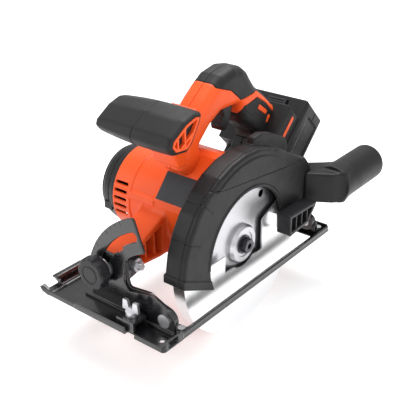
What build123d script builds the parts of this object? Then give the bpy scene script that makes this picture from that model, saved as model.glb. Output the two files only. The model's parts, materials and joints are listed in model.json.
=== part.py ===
from build123d import *
import math
import os

os.makedirs("parts", exist_ok=True)

# ---------------------------------------------------------------- driving dimensions (mm)
# Frame: +X is the direction of cut, +Y the blade side, +Z up.
# The origin is the middle of the front strip of the base plate, on its underside.
# The dimensions below count X from the plate's own middle; save() moves every solid
# back by ORIGIN_X, so that the files hold the frame above.
ORIGIN_X = 118.0
BASE_HALF_X = 137.5
BASE_HALF_Y = 78.0
SHEET = 2.0
RIM_HIGH = 7.0
CORNER_R = 3.0
OPEN_X0, OPEN_X1 = -112.0, 98.0
OPEN_Y0, OPEN_Y1 = -44.0, 70.0

SPINDLE_X, SPINDLE_Z = 0.0, 38.6
MOTOR_X, MOTOR_Z = 7.0, 68.8          # 31 mm from the spindle axis
DEPTH_X, DEPTH_Z = 99.0, 45.0         # depth pivot, axis along Y
BEVEL_Y, BEVEL_Z = 60.0, 14.0         # bevel pivot, axis along X
RUN = 0.05                            # radial gap of a running fit

BLADE_Y0, BLADE_Y1 = 54.4, 55.6
BLADE_R = 82.5
TEETH = 24
LOWER_R = 90.0
UPPER_R = 95.5
WALL_IN0, WALL_IN1 = 43.0, 45.5       # inner wall of the upper guard
WALL_OUT0, WALL_OUT1 = 63.0, 66.0     # outer wall of the upper guard
WINDOW_R = 58.0
NOSE_R = 21.0

GEAR_TEETH, PINION_TEETH = 50, 12     # module 1
BARREL_R = 44.0
BARREL_Y0 = -62.0
SHOULDER_Y0, SHOULDER_Y1 = -8.0, 42.6

HANDLE_Y = 6.0
HANDLE_HALF = 16.0
ARM_R = 160.0
ARM_Y0, ARM_Y1 = 37.5, 41.0
LOCK_ANGLE = -4.0                     # where the depth clamp stands on the arm

SADDLE_X, SADDLE_Z = -109.5, 110.5    # middle of the battery seat
PACK_HALF_Y = 35.5


# ---------------------------------------------------------------- small helpers
def block(x0, x1, y0, y1, z0, z1):
    centre = ((x0 + x1) / 2, (y0 + y1) / 2, (z0 + z1) / 2)
    return Pos(*centre) * Box(x1 - x0, y1 - y0, z1 - z0)


def rod_y(x, z, r, y0, y1):
    seat = Plane(origin=(x, y0, z), z_dir=(0, 1, 0))
    return Part() + Solid.make_cylinder(r, y1 - y0, seat)


def rod_x(y, z, r, x0, x1):
    seat = Plane(origin=(x0, y, z), z_dir=(1, 0, 0))
    return Part() + Solid.make_cylinder(r, x1 - x0, seat)


def rod_z(x, y, r, z0, z1):
    seat = Plane(origin=(x, y, z0), z_dir=(0, 0, 1))
    return Part() + Solid.make_cylinder(r, z1 - z0, seat)


def cone_y(x, z, r0, r1, y0, y1):
    seat = Plane(origin=(x, y0, z), z_dir=(0, 1, 0))
    return Part() + Solid.make_cone(r0, r1, y1 - y0, seat)


def ring_y(x, z, r0, r1, y0, y1):
    return rod_y(x, z, r1, y0, y1) - rod_y(x, z, r0, y0 - 1, y1 + 1)


def flat(points):
    return Polygon(*points, align=None)


def slab_y(face, y0, y1):
    """Extrude an (x, z) outline between two Y planes."""
    return extrude(Plane.XZ.offset(-y0) * face, amount=y1 - y0, dir=(0, 1, 0))


def slab_x(face, x0, x1):
    """Extrude a (y, z) outline between two X planes."""
    return extrude(Plane.YZ.offset(x0) * face, amount=x1 - x0, dir=(1, 0, 0))


def slab_z(face, z0, z1):
    return extrude(Plane.XY.offset(z0) * face, amount=z1 - z0, dir=(0, 0, 1))


def on_circle(cx, cy, r, degrees):
    a = math.radians(degrees)
    return (cx + r * math.cos(a), cy + r * math.sin(a))


def sector(cx, cy, r0, r1, a0, a1):
    """Ring sector outline between two angles, in degrees."""
    size = a1 - a0
    outer = CenterArc((cx, cy), r1, a0, size)
    inner = CenterArc((cx, cy), r0, a0, size)
    end = Line(on_circle(cx, cy, r1, a1), on_circle(cx, cy, r0, a1))
    start = Line(on_circle(cx, cy, r0, a0), on_circle(cx, cy, r1, a0))
    return make_face(outer + end + inner + start)


def arc_slot(cx, cy, r, width, a0, a1):
    """Curved slot with round ends."""
    slot = sector(cx, cy, r - width / 2, r + width / 2, a0, a1)
    for angle in (a0, a1):
        slot += Pos(*on_circle(cx, cy, r, angle)) * Circle(width / 2)
    return slot


def disc(cx, cy, r):
    return Pos(cx, cy) * Circle(r)


def rect(x0, x1, y0, y1):
    return Pos((x0 + x1) / 2, (y0 + y1) / 2) * Rectangle(x1 - x0, y1 - y0)


def hull_of(*faces):
    edges = []
    for face in faces:
        edges += face.edges()
    return make_hull(edges)


def save(name, *shapes):
    """Write one node; several shapes stay separate solids."""
    solids = []
    for shape in shapes:
        solids += (Pos(-ORIGIN_X, 0, 0) * shape).solids()
    body = solids[0] if len(solids) == 1 else Compound(children=solids)
    export_step(body, f"parts/{name}.step")


# ---------------------------------------------------------------- base plate group
def base_plate():
    plate = slab_z(rect(-BASE_HALF_X, BASE_HALF_X, -BASE_HALF_Y + 8, BASE_HALF_Y), 0, SHEET)
    plate = fillet(plate.edges().filter_by(Axis.Z).sort_by(Axis.Y)[-2:], CORNER_R)
    flare = flat([(-66, 0), (-70, 0), (-78, 4), (-78, 6), (-70, SHEET), (-66, SHEET)])
    plate += slab_x(flare, -BASE_HALF_X, BASE_HALF_X)
    hump = flat([(-70, SHEET), (-78, 6), (-78, 10), (-76, 11), (-71, 11), (-69, 9), (-69, SHEET)])
    plate += slab_x(hump, 86, 122)
    front = block(BASE_HALF_X - 2, BASE_HALF_X, -76, BASE_HALF_Y - CORNER_R, SHEET, 5)
    front += block(BASE_HALF_X - 2, BASE_HALF_X, -30, 33, 5, 7)
    rear = block(-BASE_HALF_X, -BASE_HALF_X + 2, -70, BASE_HALF_Y - CORNER_R, SHEET, RIM_HIGH)
    side = block(-BASE_HALF_X + CORNER_R, BASE_HALF_X - CORNER_R, BASE_HALF_Y - 2, BASE_HALF_Y, SHEET, RIM_HIGH)
    side += block(112, BASE_HALF_X - CORNER_R, BASE_HALF_Y - 2, BASE_HALF_Y, RIM_HIGH, 10)
    plate += front + rear + side
    plate -= block(OPEN_X0, OPEN_X1, OPEN_Y0, OPEN_Y1, -1, SHEET + 1)
    # sight notch in the front edge
    plate -= block(BASE_HALF_X - 3.5, BASE_HALF_X + 1, 33, 43.5, -1, 12)
    # parallel-fence windows through both side rims
    plate -= block(118.8, 131.2, -90, -60, 2.4, 8.2)
    plate -= block(118.8, 131.2, 74, 90, 2.4, 8.2)
    for x, y in RIVETS_FRONT + RIVETS_REAR:
        plate -= rod_z(x, y, 2.0, -1, SHEET + 1)
    return plate


RIVETS_FRONT = [(103.2, -18.0), (103.2, 8.0), (103.2, 69.0)]
RIVETS_REAR = [(-129.0, 46.0), (-129.0, 68.0)]
QUAD_X0, QUAD_X1 = 112.0, 115.0
BRACKET_X0, BRACKET_X1 = 108.2, 111.7
UPRIGHT_X0, UPRIGHT_X1 = -122.0, -119.0
KNOB_ANGLE = 161.0
KNOB_R = 78.0


def front_quadrant():
    """Upright bevel scale plate with its curved slot, and its foot."""
    ring = sector(BEVEL_Y, BEVEL_Z, 62, 95, 110.5, 168)
    face = fillet(ring.vertices().sort_by(Axis.X)[-2:], 11)
    face += flat([(-30, 2), (71, 2), (71, 18), (66, 25), (54, 30), (44, 33), (30, 30), (17, 27),
                  (13, 34), (13, 58), (-6, 54), (-12, 30), (-30, 8)])
    face -= arc_slot(BEVEL_Y, BEVEL_Z, KNOB_R, 9, 115.5, 163)
    face -= disc(BEVEL_Y, BEVEL_Z, 4.0)
    plate = slab_x(face, QUAD_X0, QUAD_X1)
    foot = block(QUAD_X1 - 0.5, 117.0, -38, 71, SHEET, 5)
    plate += foot
    toe = block(98.5, QUAD_X0 + 0.5, 63, 75, SHEET, 2.9)
    plate += toe
    plate += block(98.5, QUAD_X0 + 0.5, -24, -12, SHEET, 2.9)
    plate += block(98.5, QUAD_X0 + 0.5, 2, 14, SHEET, 2.9)
    for x, y in RIVETS_FRONT:
        plate -= rod_z(x, y, 2.0, 0, 6)
    return plate


def rear_upright():
    face = flat([(40, 2), (71, 2), (71, 14), (60, 23), (49, 14), (40, 8)])
    face += disc(BEVEL_Y, BEVEL_Z, 9)
    face -= disc(BEVEL_Y, BEVEL_Z, 4.0)
    plate = slab_x(face, UPRIGHT_X0, UPRIGHT_X1)
    plate += block(-135, UPRIGHT_X0 + 0.5, 40, 71, SHEET, 4)
    for x, y in RIVETS_REAR:
        plate -= rod_z(x, y, 2.0, 0, 6)
    return plate


def rivet(x, y, top):
    return rod_z(x, y, 2.0, 0, top) + rod_z(x, y, 3.6, top, top + 1.4)


def bevel_pin(x_head, x_tip, head_side):
    pin = rod_x(BEVEL_Y, BEVEL_Z, 4.0, min(x_head, x_tip), max(x_head, x_tip))
    pin += rod_x(BEVEL_Y, BEVEL_Z, 6.5, min(x_head, x_head + 2 * head_side),
                 max(x_head, x_head + 2 * head_side))
    return pin


def fence_bridge():
    """Bridge that holds the fence bar down, tapped for the clamp screw."""
    face = flat([(117, SHEET), (118.6, SHEET), (118.6, 9), (131.4, 9), (131.4, SHEET),
                 (134, SHEET), (134, 12), (117, 12)])
    bridge = slab_y(face, 20, 40)
    return bridge - rod_z(125, 30, 3.0 + RUN, 5, 15)


def fence_screw():
    screw = rod_z(125, 30, 3.0, 8.4, 16)
    screw += rod_z(125, 30, 5.5, 12.3, 17)
    wing = flat([(20.6, 17), (39.4, 17), (38.4, 27), (33.6, 27), (32, 20), (28, 20), (26.4, 27), (21.6, 27)])
    screw += slab_x(wing, 123.6, 126.4)
    return screw


# ---------------------------------------------------------------- tilting carriage group
def front_bracket():
    """Plate behind the quadrant, with two ears for the depth pivot."""
    face = disc(BEVEL_Y, BEVEL_Z, 10.5)
    face += flat([(60, 4), (60, 24), (40, 32), (16, 29), (13, 38), (13, 55), (-27, 55), (-34, 40), (-27, 22), (20, 8)])
    face -= disc(BEVEL_Y, BEVEL_Z, 4.0 + RUN)
    knob_y, knob_z = on_circle(BEVEL_Y, BEVEL_Z, KNOB_R, KNOB_ANGLE)
    plate = slab_x(face, BRACKET_X0, BRACKET_X1)
    plate -= rod_x(knob_y, knob_z, 4.0, 100, 120)
    plate -= rod_x(knob_y, knob_z, 5.5, 100, 109.6)
    ear = flat([(BRACKET_X0 + 1, 33), (BRACKET_X0 + 1, 55), (99, 55), (91, 50), (90, 41), (95, 36)])
    ears = slab_y(ear, -26.5, -22.5) + slab_y(ear, 8.5, 12.5)
    ears -= rod_y(DEPTH_X, DEPTH_Z, 4.0, -40, 40)
    ears -= rod_x(knob_y, knob_z, 5.8, 100, BRACKET_X0)
    return plate + ears


def depth_bolt():
    bolt = rod_y(DEPTH_X, DEPTH_Z, 4.0, -32, 12.5)
    head = Plane.XZ.offset(-16.5) * (Pos(DEPTH_X, DEPTH_Z) * RegularPolygon(6.4, 6))
    bolt += extrude(head, amount=4.0) + rod_y(DEPTH_X, DEPTH_Z, 3.0, 16.5, 21)
    return bolt


def depth_nut():
    face = Plane.XZ.offset(26.5) * (Pos(DEPTH_X, DEPTH_Z) * RegularPolygon(7.2, 6))
    return extrude(face, amount=5.0) - rod_y(DEPTH_X, DEPTH_Z, 4.0, -40, 0)


def depth_arm():
    """Rear bevel bracket with the curved depth arm standing on it."""
    arm = sector(DEPTH_X, DEPTH_Z, ARM_R - 9, ARM_R + 9, 156, 205)
    arm += disc(*on_circle(DEPTH_X, DEPTH_Z, ARM_R, 156), 9)
    arm += flat([(-118.7, 6), (-118.7, 24), (-80, 28), (-66, 36), (-50, 30), (-46, 8), (-52, 5)])
    arm -= arc_slot(DEPTH_X, DEPTH_Z, ARM_R, 8.3, 156, 189)
    arm -= rect(-200, 0, -60, 3.5)
    plate = slab_y(arm, ARM_Y0, ARM_Y1)
    face = disc(BEVEL_Y, BEVEL_Z, 9)
    face += flat([(60, 5), (60, 23), (ARM_Y0, 24), (ARM_Y0, 6)])
    face -= disc(BEVEL_Y, BEVEL_Z, 4.0 + RUN)
    plate += slab_x(face, -118.7, -115.2)
    return plate


def bevel_lock_bolt():
    y, z = on_circle(BEVEL_Y, BEVEL_Z, KNOB_R, KNOB_ANGLE)
    return rod_x(y, z, 4.0, 109.6, 128) + rod_x(y, z, 5.5, 107.3, 109.6)


def bevel_washer():
    y, z = on_circle(BEVEL_Y, BEVEL_Z, KNOB_R, KNOB_ANGLE)
    return rod_x(y, z, 11.0, QUAD_X1 + 0.05, 116.6) - rod_x(y, z, 4.1, 110, 120)


def bevel_knob():
    y, z = on_circle(BEVEL_Y, BEVEL_Z, KNOB_R, KNOB_ANGLE)
    knob = rod_x(y, z, 16.0, 119.5, 131) + rod_x(y, z, 9.0, 116.7, 119.5)
    for i in range(8):
        cy, cz = on_circle(y, z, 18.2, 22.5 + 45 * i)
        knob -= rod_x(cy, cz, 4.0, 119, 132)
    knob -= rod_x(y, z, 4.0 + RUN, 110, 129)
    return knob


# ---------------------------------------------------------------- guards
def spindle_disc(r):
    return disc(SPINDLE_X, SPINDLE_Z, r)


DUCT = [(-40, 124.5), (-62, 115), (-98, 97), (-108, 86), (-116, 46), (-60, 44)]
DUCT_IN = [(-42, 120.5), (-62, 111.6), (-96.6, 94), (-105, 84.6), (-112.6, 49), (-60, 47)]
NECK_OUT = [(-118, 46), (-96, 66), (-112, 92), (-122, 101), (-139, 96), (-139, 70)]
NECK_IN = [(-109, 50), (-96, 60), (-112, 86), (-124, 96), (-136, 90), (-136, 72), (-116, 50)]
# the guard reaches lower at the front, where its end slopes in towards the blade
GUARD_REACH = [(-120, 34), (-120, 200), (120, 200), (120, 48.8), (50, 14.5), (46, 14.5), (46, 34)]
LIP = [(100, 39), (50, 14.5), (46, 22), (96, 46.5)]
LUG = [(-22, 128), (-26, 137), (-38, 138), (-55, 133), (-79, 121.5), (-84, 112), (-80, 100), (-50, 110)]
TUBE_Y, TUBE_Z = 86.0, 64.5
TUBE_R, TUBE_BORE, TUBE_END = 19.5, 17.5, -196.0


def guard_outline():
    face = spindle_disc(UPPER_R) & flat(GUARD_REACH)
    return face + flat(DUCT)


def lock_place():
    return on_circle(DEPTH_X, DEPTH_Z, ARM_R, 180 - LOCK_ANGLE)


GUARD_SCREWS = [(27.5, 66.0), (-13.5, 66.0), (21.0, 84.0), (-7.0, 84.0)]


def upper_guard():
    face = guard_outline()
    shell = slab_y(face, WALL_IN0, WALL_OUT1)
    shell += rod_y(SPINDLE_X, SPINDLE_Z, 31.0, WALL_IN0, WALL_IN1)
    shell += slab_y(spindle_disc(UPPER_R + 1.8) & flat(LIP), WALL_IN0, WALL_OUT1 + 1.2)
    # arch window in the outer wall, and the chamber for blade and lower guard
    shell -= rod_y(SPINDLE_X, SPINDLE_Z, WINDOW_R, 60, 80)
    shell -= slab_y(spindle_disc(UPPER_R - 3.2) + flat(DUCT_IN), WALL_IN1, WALL_OUT0)
    shell -= block(-WINDOW_R, 0, 60, 80, 0, SPINDLE_Z)
    shell -= rod_y(SPINDLE_X, SPINDLE_Z, NOSE_R, 40, 50)
    shell -= slab_z(flat(NECK_IN), 51, 77)
    # raised cover panel with a rib, and the lug on the crown
    panel = sector(SPINDLE_X, SPINDLE_Z, 62, 90, 50, 140) & flat([(-90, 97), (90, 117), (90, 140), (-90, 140)])
    shell += slab_y(panel, WALL_OUT1, WALL_OUT1 + 1.2)
    lug = flat(LUG) - spindle_disc(UPPER_R - 1) - flat(DUCT_IN)
    shell += slab_y(lug, WALL_IN0, 52)
    x, z = lock_place()
    shell += rod_y(x, z, 12.0, WALL_IN0, WALL_IN1)
    shell += rod_y(x, z, 9.0, ARM_Y1 + 0.3, WALL_IN0 + 0.5)
    shell -= rod_y(x, z, 4.0, 30, 50)
    shell -= rod_y(x, z, 7.5, 43.4, 46)
    for sx, sz in GUARD_SCREWS:
        shell -= rod_y(sx, sz, 2.0, 40, 50)
    return shell


def dust_port():
    port = slab_z(flat(NECK_OUT), 47, 80)
    port += rod_x(TUBE_Y, TUBE_Z, TUBE_R, TUBE_END, -120)
    port -= slab_z(flat(NECK_IN), 51, 77)
    port -= rod_x(TUBE_Y, TUBE_Z, TUBE_BORE, TUBE_END - 1, -124)
    port -= slab_y(guard_outline(), 30, WALL_OUT1)
    return port


LOWER_A0, LOWER_A1 = 155.0, 368.0


def lower_guard():
    """Retracting guard: two side walls and a rim, riding on the gear nose."""
    rim = slab_y(sector(SPINDLE_X, SPINDLE_Z, LOWER_R - 1.6, LOWER_R, LOWER_A0, LOWER_A1), 48.4, 61.2)
    wall = sector(SPINDLE_X, SPINDLE_Z, 24.0, LOWER_R - 0.8, LOWER_A0, LOWER_A1)
    outer = wall - rect(-30, 30, 20, 60) - rect(-100, 100, 70, 130)
    outer = outer - rect(0, 100, SPINDLE_Z, 130)
    inner = wall + spindle_disc(25)
    guard = rim + slab_y(outer, 59.6, 61.2) + slab_y(inner, 48.4, 50.0)
    guard += rod_y(SPINDLE_X, SPINDLE_Z, 24.0, 46.0, 50.0)
    guard -= rod_y(SPINDLE_X, SPINDLE_Z, NOSE_R + RUN, 40, 55)
    # stepped pad for the thumb lever
    guard += block(-60, -46, 61.0, 67.6, 40, 54) & rod_y(SPINDLE_X, SPINDLE_Z, 57.2, 60, 70)
    return guard


def guard_lever():
    """Thumb lever, ribbed and open on its outer face."""
    face = flat([(-44, 57), (-94, 55), (-92, 50), (-78, 36), (-46, 34)])
    lever = slab_y(face, 67.6, 84)
    pocket = flat([(-48, 53.5), (-88, 52), (-77, 39.5), (-48, 38)])
    lever -= slab_y(pocket, 71, 85)
    for x in (-58, -68, -78):
        lever += slab_y(rect(x - 1, x + 1, 38, 54) & face, 70.5, 83)
    return lever


def guard_spring():
    """Torsion spring round the hub of the lower guard."""
    path = Helix(pitch=1.0, height=1.4, radius=26.6, center=(0, 0, 0), direction=(0, 0, 1))
    profile = Plane(origin=path @ 0, z_dir=path % 0) * Circle(0.4)
    coil = sweep(profile, path=path)
    seat = Plane(origin=(SPINDLE_X, 46.1, SPINDLE_Z), z_dir=(0, 1, 0))
    return seat.location * coil


# ---------------------------------------------------------------- spindle group
def spindle():
    shaft = rod_y(SPINDLE_X, SPINDLE_Z, 4.0, 9.2, 16)
    shaft += rod_y(SPINDLE_X, SPINDLE_Z, 6.5, 16, 35)
    shaft += rod_y(SPINDLE_X, SPINDLE_Z, 6.0, 35, 43.2)
    shaft += rod_y(SPINDLE_X, SPINDLE_Z, 10.0, 43.2, 49.5)
    shaft += rod_y(SPINDLE_X, SPINDLE_Z, 8.0, 49.5, 57)
    shaft -= rod_y(SPINDLE_X, SPINDLE_Z, 4.0, 38, 60)
    return shaft


def inner_flange():
    return ring_y(SPINDLE_X, SPINDLE_Z, 8.0, 17.6, 49.5, BLADE_Y0)


def outer_flange():
    flange = rod_y(SPINDLE_X, SPINDLE_Z, 19.5, BLADE_Y1, 58.6)
    flange += cone_y(SPINDLE_X, SPINDLE_Z, 19.5, 17.5, 58.6, 61.6)
    flange -= rod_y(SPINDLE_X, SPINDLE_Z, 8.0, 50, 57)
    flange -= rod_y(SPINDLE_X, SPINDLE_Z, 4.0, 50, 70)
    flange -= rod_y(SPINDLE_X, SPINDLE_Z, 13.0, 60.4, 70)
    return flange


def blade_bolt():
    bolt = rod_y(SPINDLE_X, SPINDLE_Z, 4.0, 39, 60.4) + rod_y(SPINDLE_X, SPINDLE_Z, 9.5, 60.4, 61.6)
    head = Plane.XZ.offset(-67.4) * (Pos(SPINDLE_X, SPINDLE_Z) * RegularPolygon(7.5, 6))
    bolt += extrude(head, amount=5.8)
    bolt -= rod_y(SPINDLE_X, SPINDLE_Z, 3.0, 63.5, 70)
    return bolt


def tip_block(index):
    angle = 360 / TEETH * index
    tip = block(79.0, 82.5, BLADE_Y0 - 0.2, BLADE_Y1 + 0.2, 0, 2.2)
    return Pos(SPINDLE_X, 0, SPINDLE_Z) * (Rot(0, angle, 0) * tip)


def blade():
    points = []
    for i in range(TEETH):
        a = -360 / TEETH * i
        points.append(on_circle(SPINDLE_X, SPINDLE_Z, 82.2, a))
        points.append(on_circle(SPINDLE_X, SPINDLE_Z, 81.0, a - 5.0))
        points.append(on_circle(SPINDLE_X, SPINDLE_Z, 77.0, a - 10.5))
        points.append(on_circle(SPINDLE_X, SPINDLE_Z, 73.5, a - 13.0))
        points.append(on_circle(SPINDLE_X, SPINDLE_Z, 74.5, a - 15.0))
    face = flat(points) - spindle_disc(8.0)
    for i in range(4):
        a = 90 * i + 40
        face -= disc(*on_circle(SPINDLE_X, SPINDLE_Z, 52, a), 4)
    plate = slab_y(face, BLADE_Y0, BLADE_Y1)
    for i in range(TEETH):
        plate -= tip_block(i)
    return plate


def gear_face(cx, cz, teeth, turn):
    """Stub-tooth spur gear outline, module 1, with free play between teeth."""
    pitch = teeth / 2
    step = 360 / teeth
    half_root = math.degrees(0.82 / (pitch - 1.05))
    half_pitch = math.degrees(0.56 / pitch)
    half_tip = math.degrees(0.26 / (pitch + 0.72))
    points = []
    for i in range(teeth):
        a = turn + step * i
        points.append(on_circle(cx, cz, pitch - 1.05, a - half_root))
        points.append(on_circle(cx, cz, pitch, a - half_pitch))
        points.append(on_circle(cx, cz, pitch + 0.72, a - half_tip))
        points.append(on_circle(cx, cz, pitch + 0.72, a + half_tip))
        points.append(on_circle(cx, cz, pitch, a + half_pitch))
        points.append(on_circle(cx, cz, pitch - 1.05, a + half_root))
    return flat(points)


MESH_ANGLE = math.degrees(math.atan2(MOTOR_Z - SPINDLE_Z, MOTOR_X - SPINDLE_X))


def spindle_gear():
    face = gear_face(SPINDLE_X, SPINDLE_Z, GEAR_TEETH, MESH_ANGLE)
    return slab_y(face, 22, 31) - rod_y(SPINDLE_X, SPINDLE_Z, 6.5, 10, 40)


def pinion():
    turn = MESH_ANGLE + 180 + 180 / PINION_TEETH
    face = gear_face(MOTOR_X, MOTOR_Z, PINION_TEETH, turn)
    return slab_y(face, 21, 32) - rod_y(MOTOR_X, MOTOR_Z, 3.0, 10, 40)


# ---------------------------------------------------------------- motor group
def rotor_shaft():
    return rod_y(MOTOR_X, MOTOR_Z, 4.0, -72, 19) + rod_y(MOTOR_X, MOTOR_Z, 3.0, 19, 33)


def armature_core():
    face = disc(MOTOR_X, MOTOR_Z, 23.4) - disc(MOTOR_X, MOTOR_Z, 4.0)
    for i in range(12):
        a = 30 * i
        groove = Rot(0, 0, a) * rect(16.5, 24.5, -1.0, 1.0)
        face -= Pos(MOTOR_X, MOTOR_Z) * groove
    return slab_y(face, -44, -12)


def windings():
    front = ring_y(MOTOR_X, MOTOR_Z, 6.0, 20.0, -11.9, -5)
    rear = ring_y(MOTOR_X, MOTOR_Z, 6.0, 20.0, -50.5, -44.1)
    front = fillet(front.edges().filter_by(GeomType.CIRCLE).sort_by(Axis.Y)[-1], 2)
    return front, rear


def commutator():
    return ring_y(MOTOR_X, MOTOR_Z, 4.0, 10.5, -61.5, -51.5)


def fan():
    hub = ring_y(MOTOR_X, MOTOR_Z, 4.0, 9.0, -3.5, 7.5) + ring_y(MOTOR_X, MOTOR_Z, 4.0, 36.0, -3.5, -2.0)
    for i in range(14):
        vane = block(8.5, 35.5, -2.5, 6.5, -0.9, 0.9)
        hub += Pos(MOTOR_X, 0, MOTOR_Z) * (Rot(0, 360 / 14 * i, 0) * vane)
    return hub


def motor_can():
    return ring_y(MOTOR_X, MOTOR_Z, 27.2, 30.0, -55, -4.5)


def magnets():
    pieces = []
    for a in (50, 140, 230, 320):
        pieces.append(slab_y(sector(MOTOR_X, MOTOR_Z, 24.0, 27.2, a, a + 78), -46, -10))
    return pieces


def brush_holders():
    """Carbon brushes in their boxes, one on each side of the commutator."""
    one = block(MOTOR_X + 10.8, MOTOR_X + 26, -60, -53, MOTOR_Z - 4, MOTOR_Z + 4)
    two = block(MOTOR_X - 26, MOTOR_X - 10.8, -60, -53, MOTOR_Z - 4, MOTOR_Z + 4)
    return one, two


# ---------------------------------------------------------------- housings
SHOULDER = [(50, 57), (52.5, 80), (51, 86), (31, 109), (17, 127), (10, 130), (-12, 122),
            (-27, 113), (-39, 93), (-41, 60), (-33, 24), (-12, 6), (12, 6), (36, 22)]
BARREL_SLOT_Z = [57.5, 65.0, 72.5, 80.0, 87.5]
FOOT = [(34, 86), (50, 76), (101, 53.3), (98.5, 36.6), (60, 33), (36, 34)]
FOOT_Y0, FOOT_Y1 = -22.0, 8.0
FOOT_R = 8.0


def shoulder_face():
    return fillet(flat(SHOULDER).vertices(), 4)


def housing_envelope():
    body = rod_y(MOTOR_X, MOTOR_Z, BARREL_R, BARREL_Y0, SHOULDER_Y0 + 1)
    body += slab_y(shoulder_face(), SHOULDER_Y0, SHOULDER_Y1)
    return body


def gear_case_face():
    return hull_of(spindle_disc(28.6), disc(MOTOR_X, MOTOR_Z, 26))


def motor_housing():
    body = housing_envelope()
    foot = slab_y(flat(FOOT), FOOT_Y0, FOOT_Y1) + rod_y(DEPTH_X, DEPTH_Z, FOOT_R, FOOT_Y0, FOOT_Y1)
    pocket = flat([(56, 66), (90, 53.5), (88, 39.5), (58, 38)])
    foot -= slab_y(pocket, FOOT_Y0 + 3, FOOT_Y1 + 1)
    for x in (66, 78):
        foot += slab_y(rect(x - 1.2, x + 1.2, 38, 70) & flat(FOOT), FOOT_Y0 + 2, FOOT_Y1 - 2)
    # raised strip along the front of the barrel
    strip = flat([(46, 79), (53.2, 78.5), (52.6, 84.5), (46, 86)])
    body += slab_y(strip, -37, SHOULDER_Y0 + 2)
    body += foot
    body -= rod_y(MOTOR_X, MOTOR_Z, BARREL_R - 3, BARREL_Y0 - 1, SHOULDER_Y0 + 3)
    inside = offset(shoulder_face(), amount=-3)
    body -= slab_y(inside, SHOULDER_Y0 + 3, SHOULDER_Y1 + 1)
    for a in (45, 135, 225, 315):
        rib = block(30.0, 42.0, -52, -6, -1.5, 1.5)
        body += Pos(MOTOR_X, 0, MOTOR_Z) * (Rot(0, a, 0) * rib)
    for z in BARREL_SLOT_Z:
        body -= block(36, 60, -60, -45, z - 1.4, z + 1.4)
        body -= block(-50, -22, -60, -45, z - 1.4, z + 1.4)
    body -= rod_y(DEPTH_X, DEPTH_Z, 4.0 + RUN, -40, 40)
    return body


def motor_end_cap():
    cap = end_cap_cone() + cone_y(MOTOR_X, MOTOR_Z, 33.0, 36.0, -86, -84)
    cap -= cone_y(MOTOR_X, MOTOR_Z, 33.5, 40.0, -83.5, BARREL_Y0 + 0.5)
    boss = ring_y(MOTOR_X, MOTOR_Z, 11.0, 14.0, -84, -65)
    cap += boss
    for a in (0, 90, 180, 270):
        web = block(13.5, 36.5, -84, -74, -1.2, 1.2)
        cap += Pos(MOTOR_X, 0, MOTOR_Z) * (Rot(0, a, 0) * web)
    for i in range(6):
        a = 60 * i + 30
        x, z = on_circle(MOTOR_X, MOTOR_Z, 23, a)
        cap -= rod_y(x, z, 4.0, -90, -80)
    return cap


def brush_caps():
    pieces = []
    for side in (-1, 1):
        x = MOTOR_X + side * 37.4
        y, z = -72.0, 58.0
        pieces.append(block(min(x, x + side * 3.4), max(x, x + side * 3.4), y - 5, y + 5, z - 4, z + 4))
    return [piece - end_cap_cone() for piece in pieces]


def end_cap_cone():
    return cone_y(MOTOR_X, MOTOR_Z, 36.0, 42.5, -84, BARREL_Y0)


def gear_housing():
    body = slab_y(gear_case_face(), 16, 43)
    body += rod_y(SPINDLE_X, SPINDLE_Z, NOSE_R, 42, 51.5)
    body -= slab_y(hull_of(spindle_disc(26.4), disc(MOTOR_X, MOTOR_Z, 12)), 15, 34)
    body -= rod_y(SPINDLE_X, SPINDLE_Z, 14.0, 30, 45)
    body -= rod_y(SPINDLE_X, SPINDLE_Z, 18.2, 43, 60)
    body -= ring_y(SPINDLE_X, SPINDLE_Z, 19.6, 30, 50.1, 51.2)
    for sx, sz in GUARD_SCREWS:
        body -= rod_y(sx, sz, 2.0, 35, 50)
    return body


def gear_plate():
    inside = offset(shoulder_face(), amount=-3)
    plate = slab_y(inside, 9, 16)
    plate -= rod_y(SPINDLE_X, SPINDLE_Z, 11.0, 5, 20)
    plate -= rod_y(MOTOR_X, MOTOR_Z, 11.0, 5, 20)
    for sx, sz in ((-30, 90), (-30, 30), (40, 60), (12, 118)):
        plate -= rod_y(sx, sz, 2.5, 5, 20)
    return plate


def guard_screws():
    pieces = []
    for sx, sz in GUARD_SCREWS:
        pieces.append(rod_y(sx, sz, 2.0, 35.2, 45.5) + rod_y(sx, sz, 3.4, 45.5, 47.2))
    return pieces


def retaining_ring():
    ring = ring_y(SPINDLE_X, SPINDLE_Z, 19.6, 23.4, 50.12, 51.18)
    return ring - block(-3, 3, 49, 53, 50, 70)


def spindle_bearings():
    front = ring_y(SPINDLE_X, SPINDLE_Z, 6.0 + 0.02, 14.0, 35, 43)
    rear = ring_y(SPINDLE_X, SPINDLE_Z, 4.0 + 0.02, 11.0, 9.1, 16)
    return front, rear


def motor_bearings():
    front = ring_y(MOTOR_X, MOTOR_Z, 4.0 + 0.02, 11.0, 9.1, 16)
    rear = ring_y(MOTOR_X, MOTOR_Z, 4.0 + 0.02, 11.0, -72, -65)
    return front, rear


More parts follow.
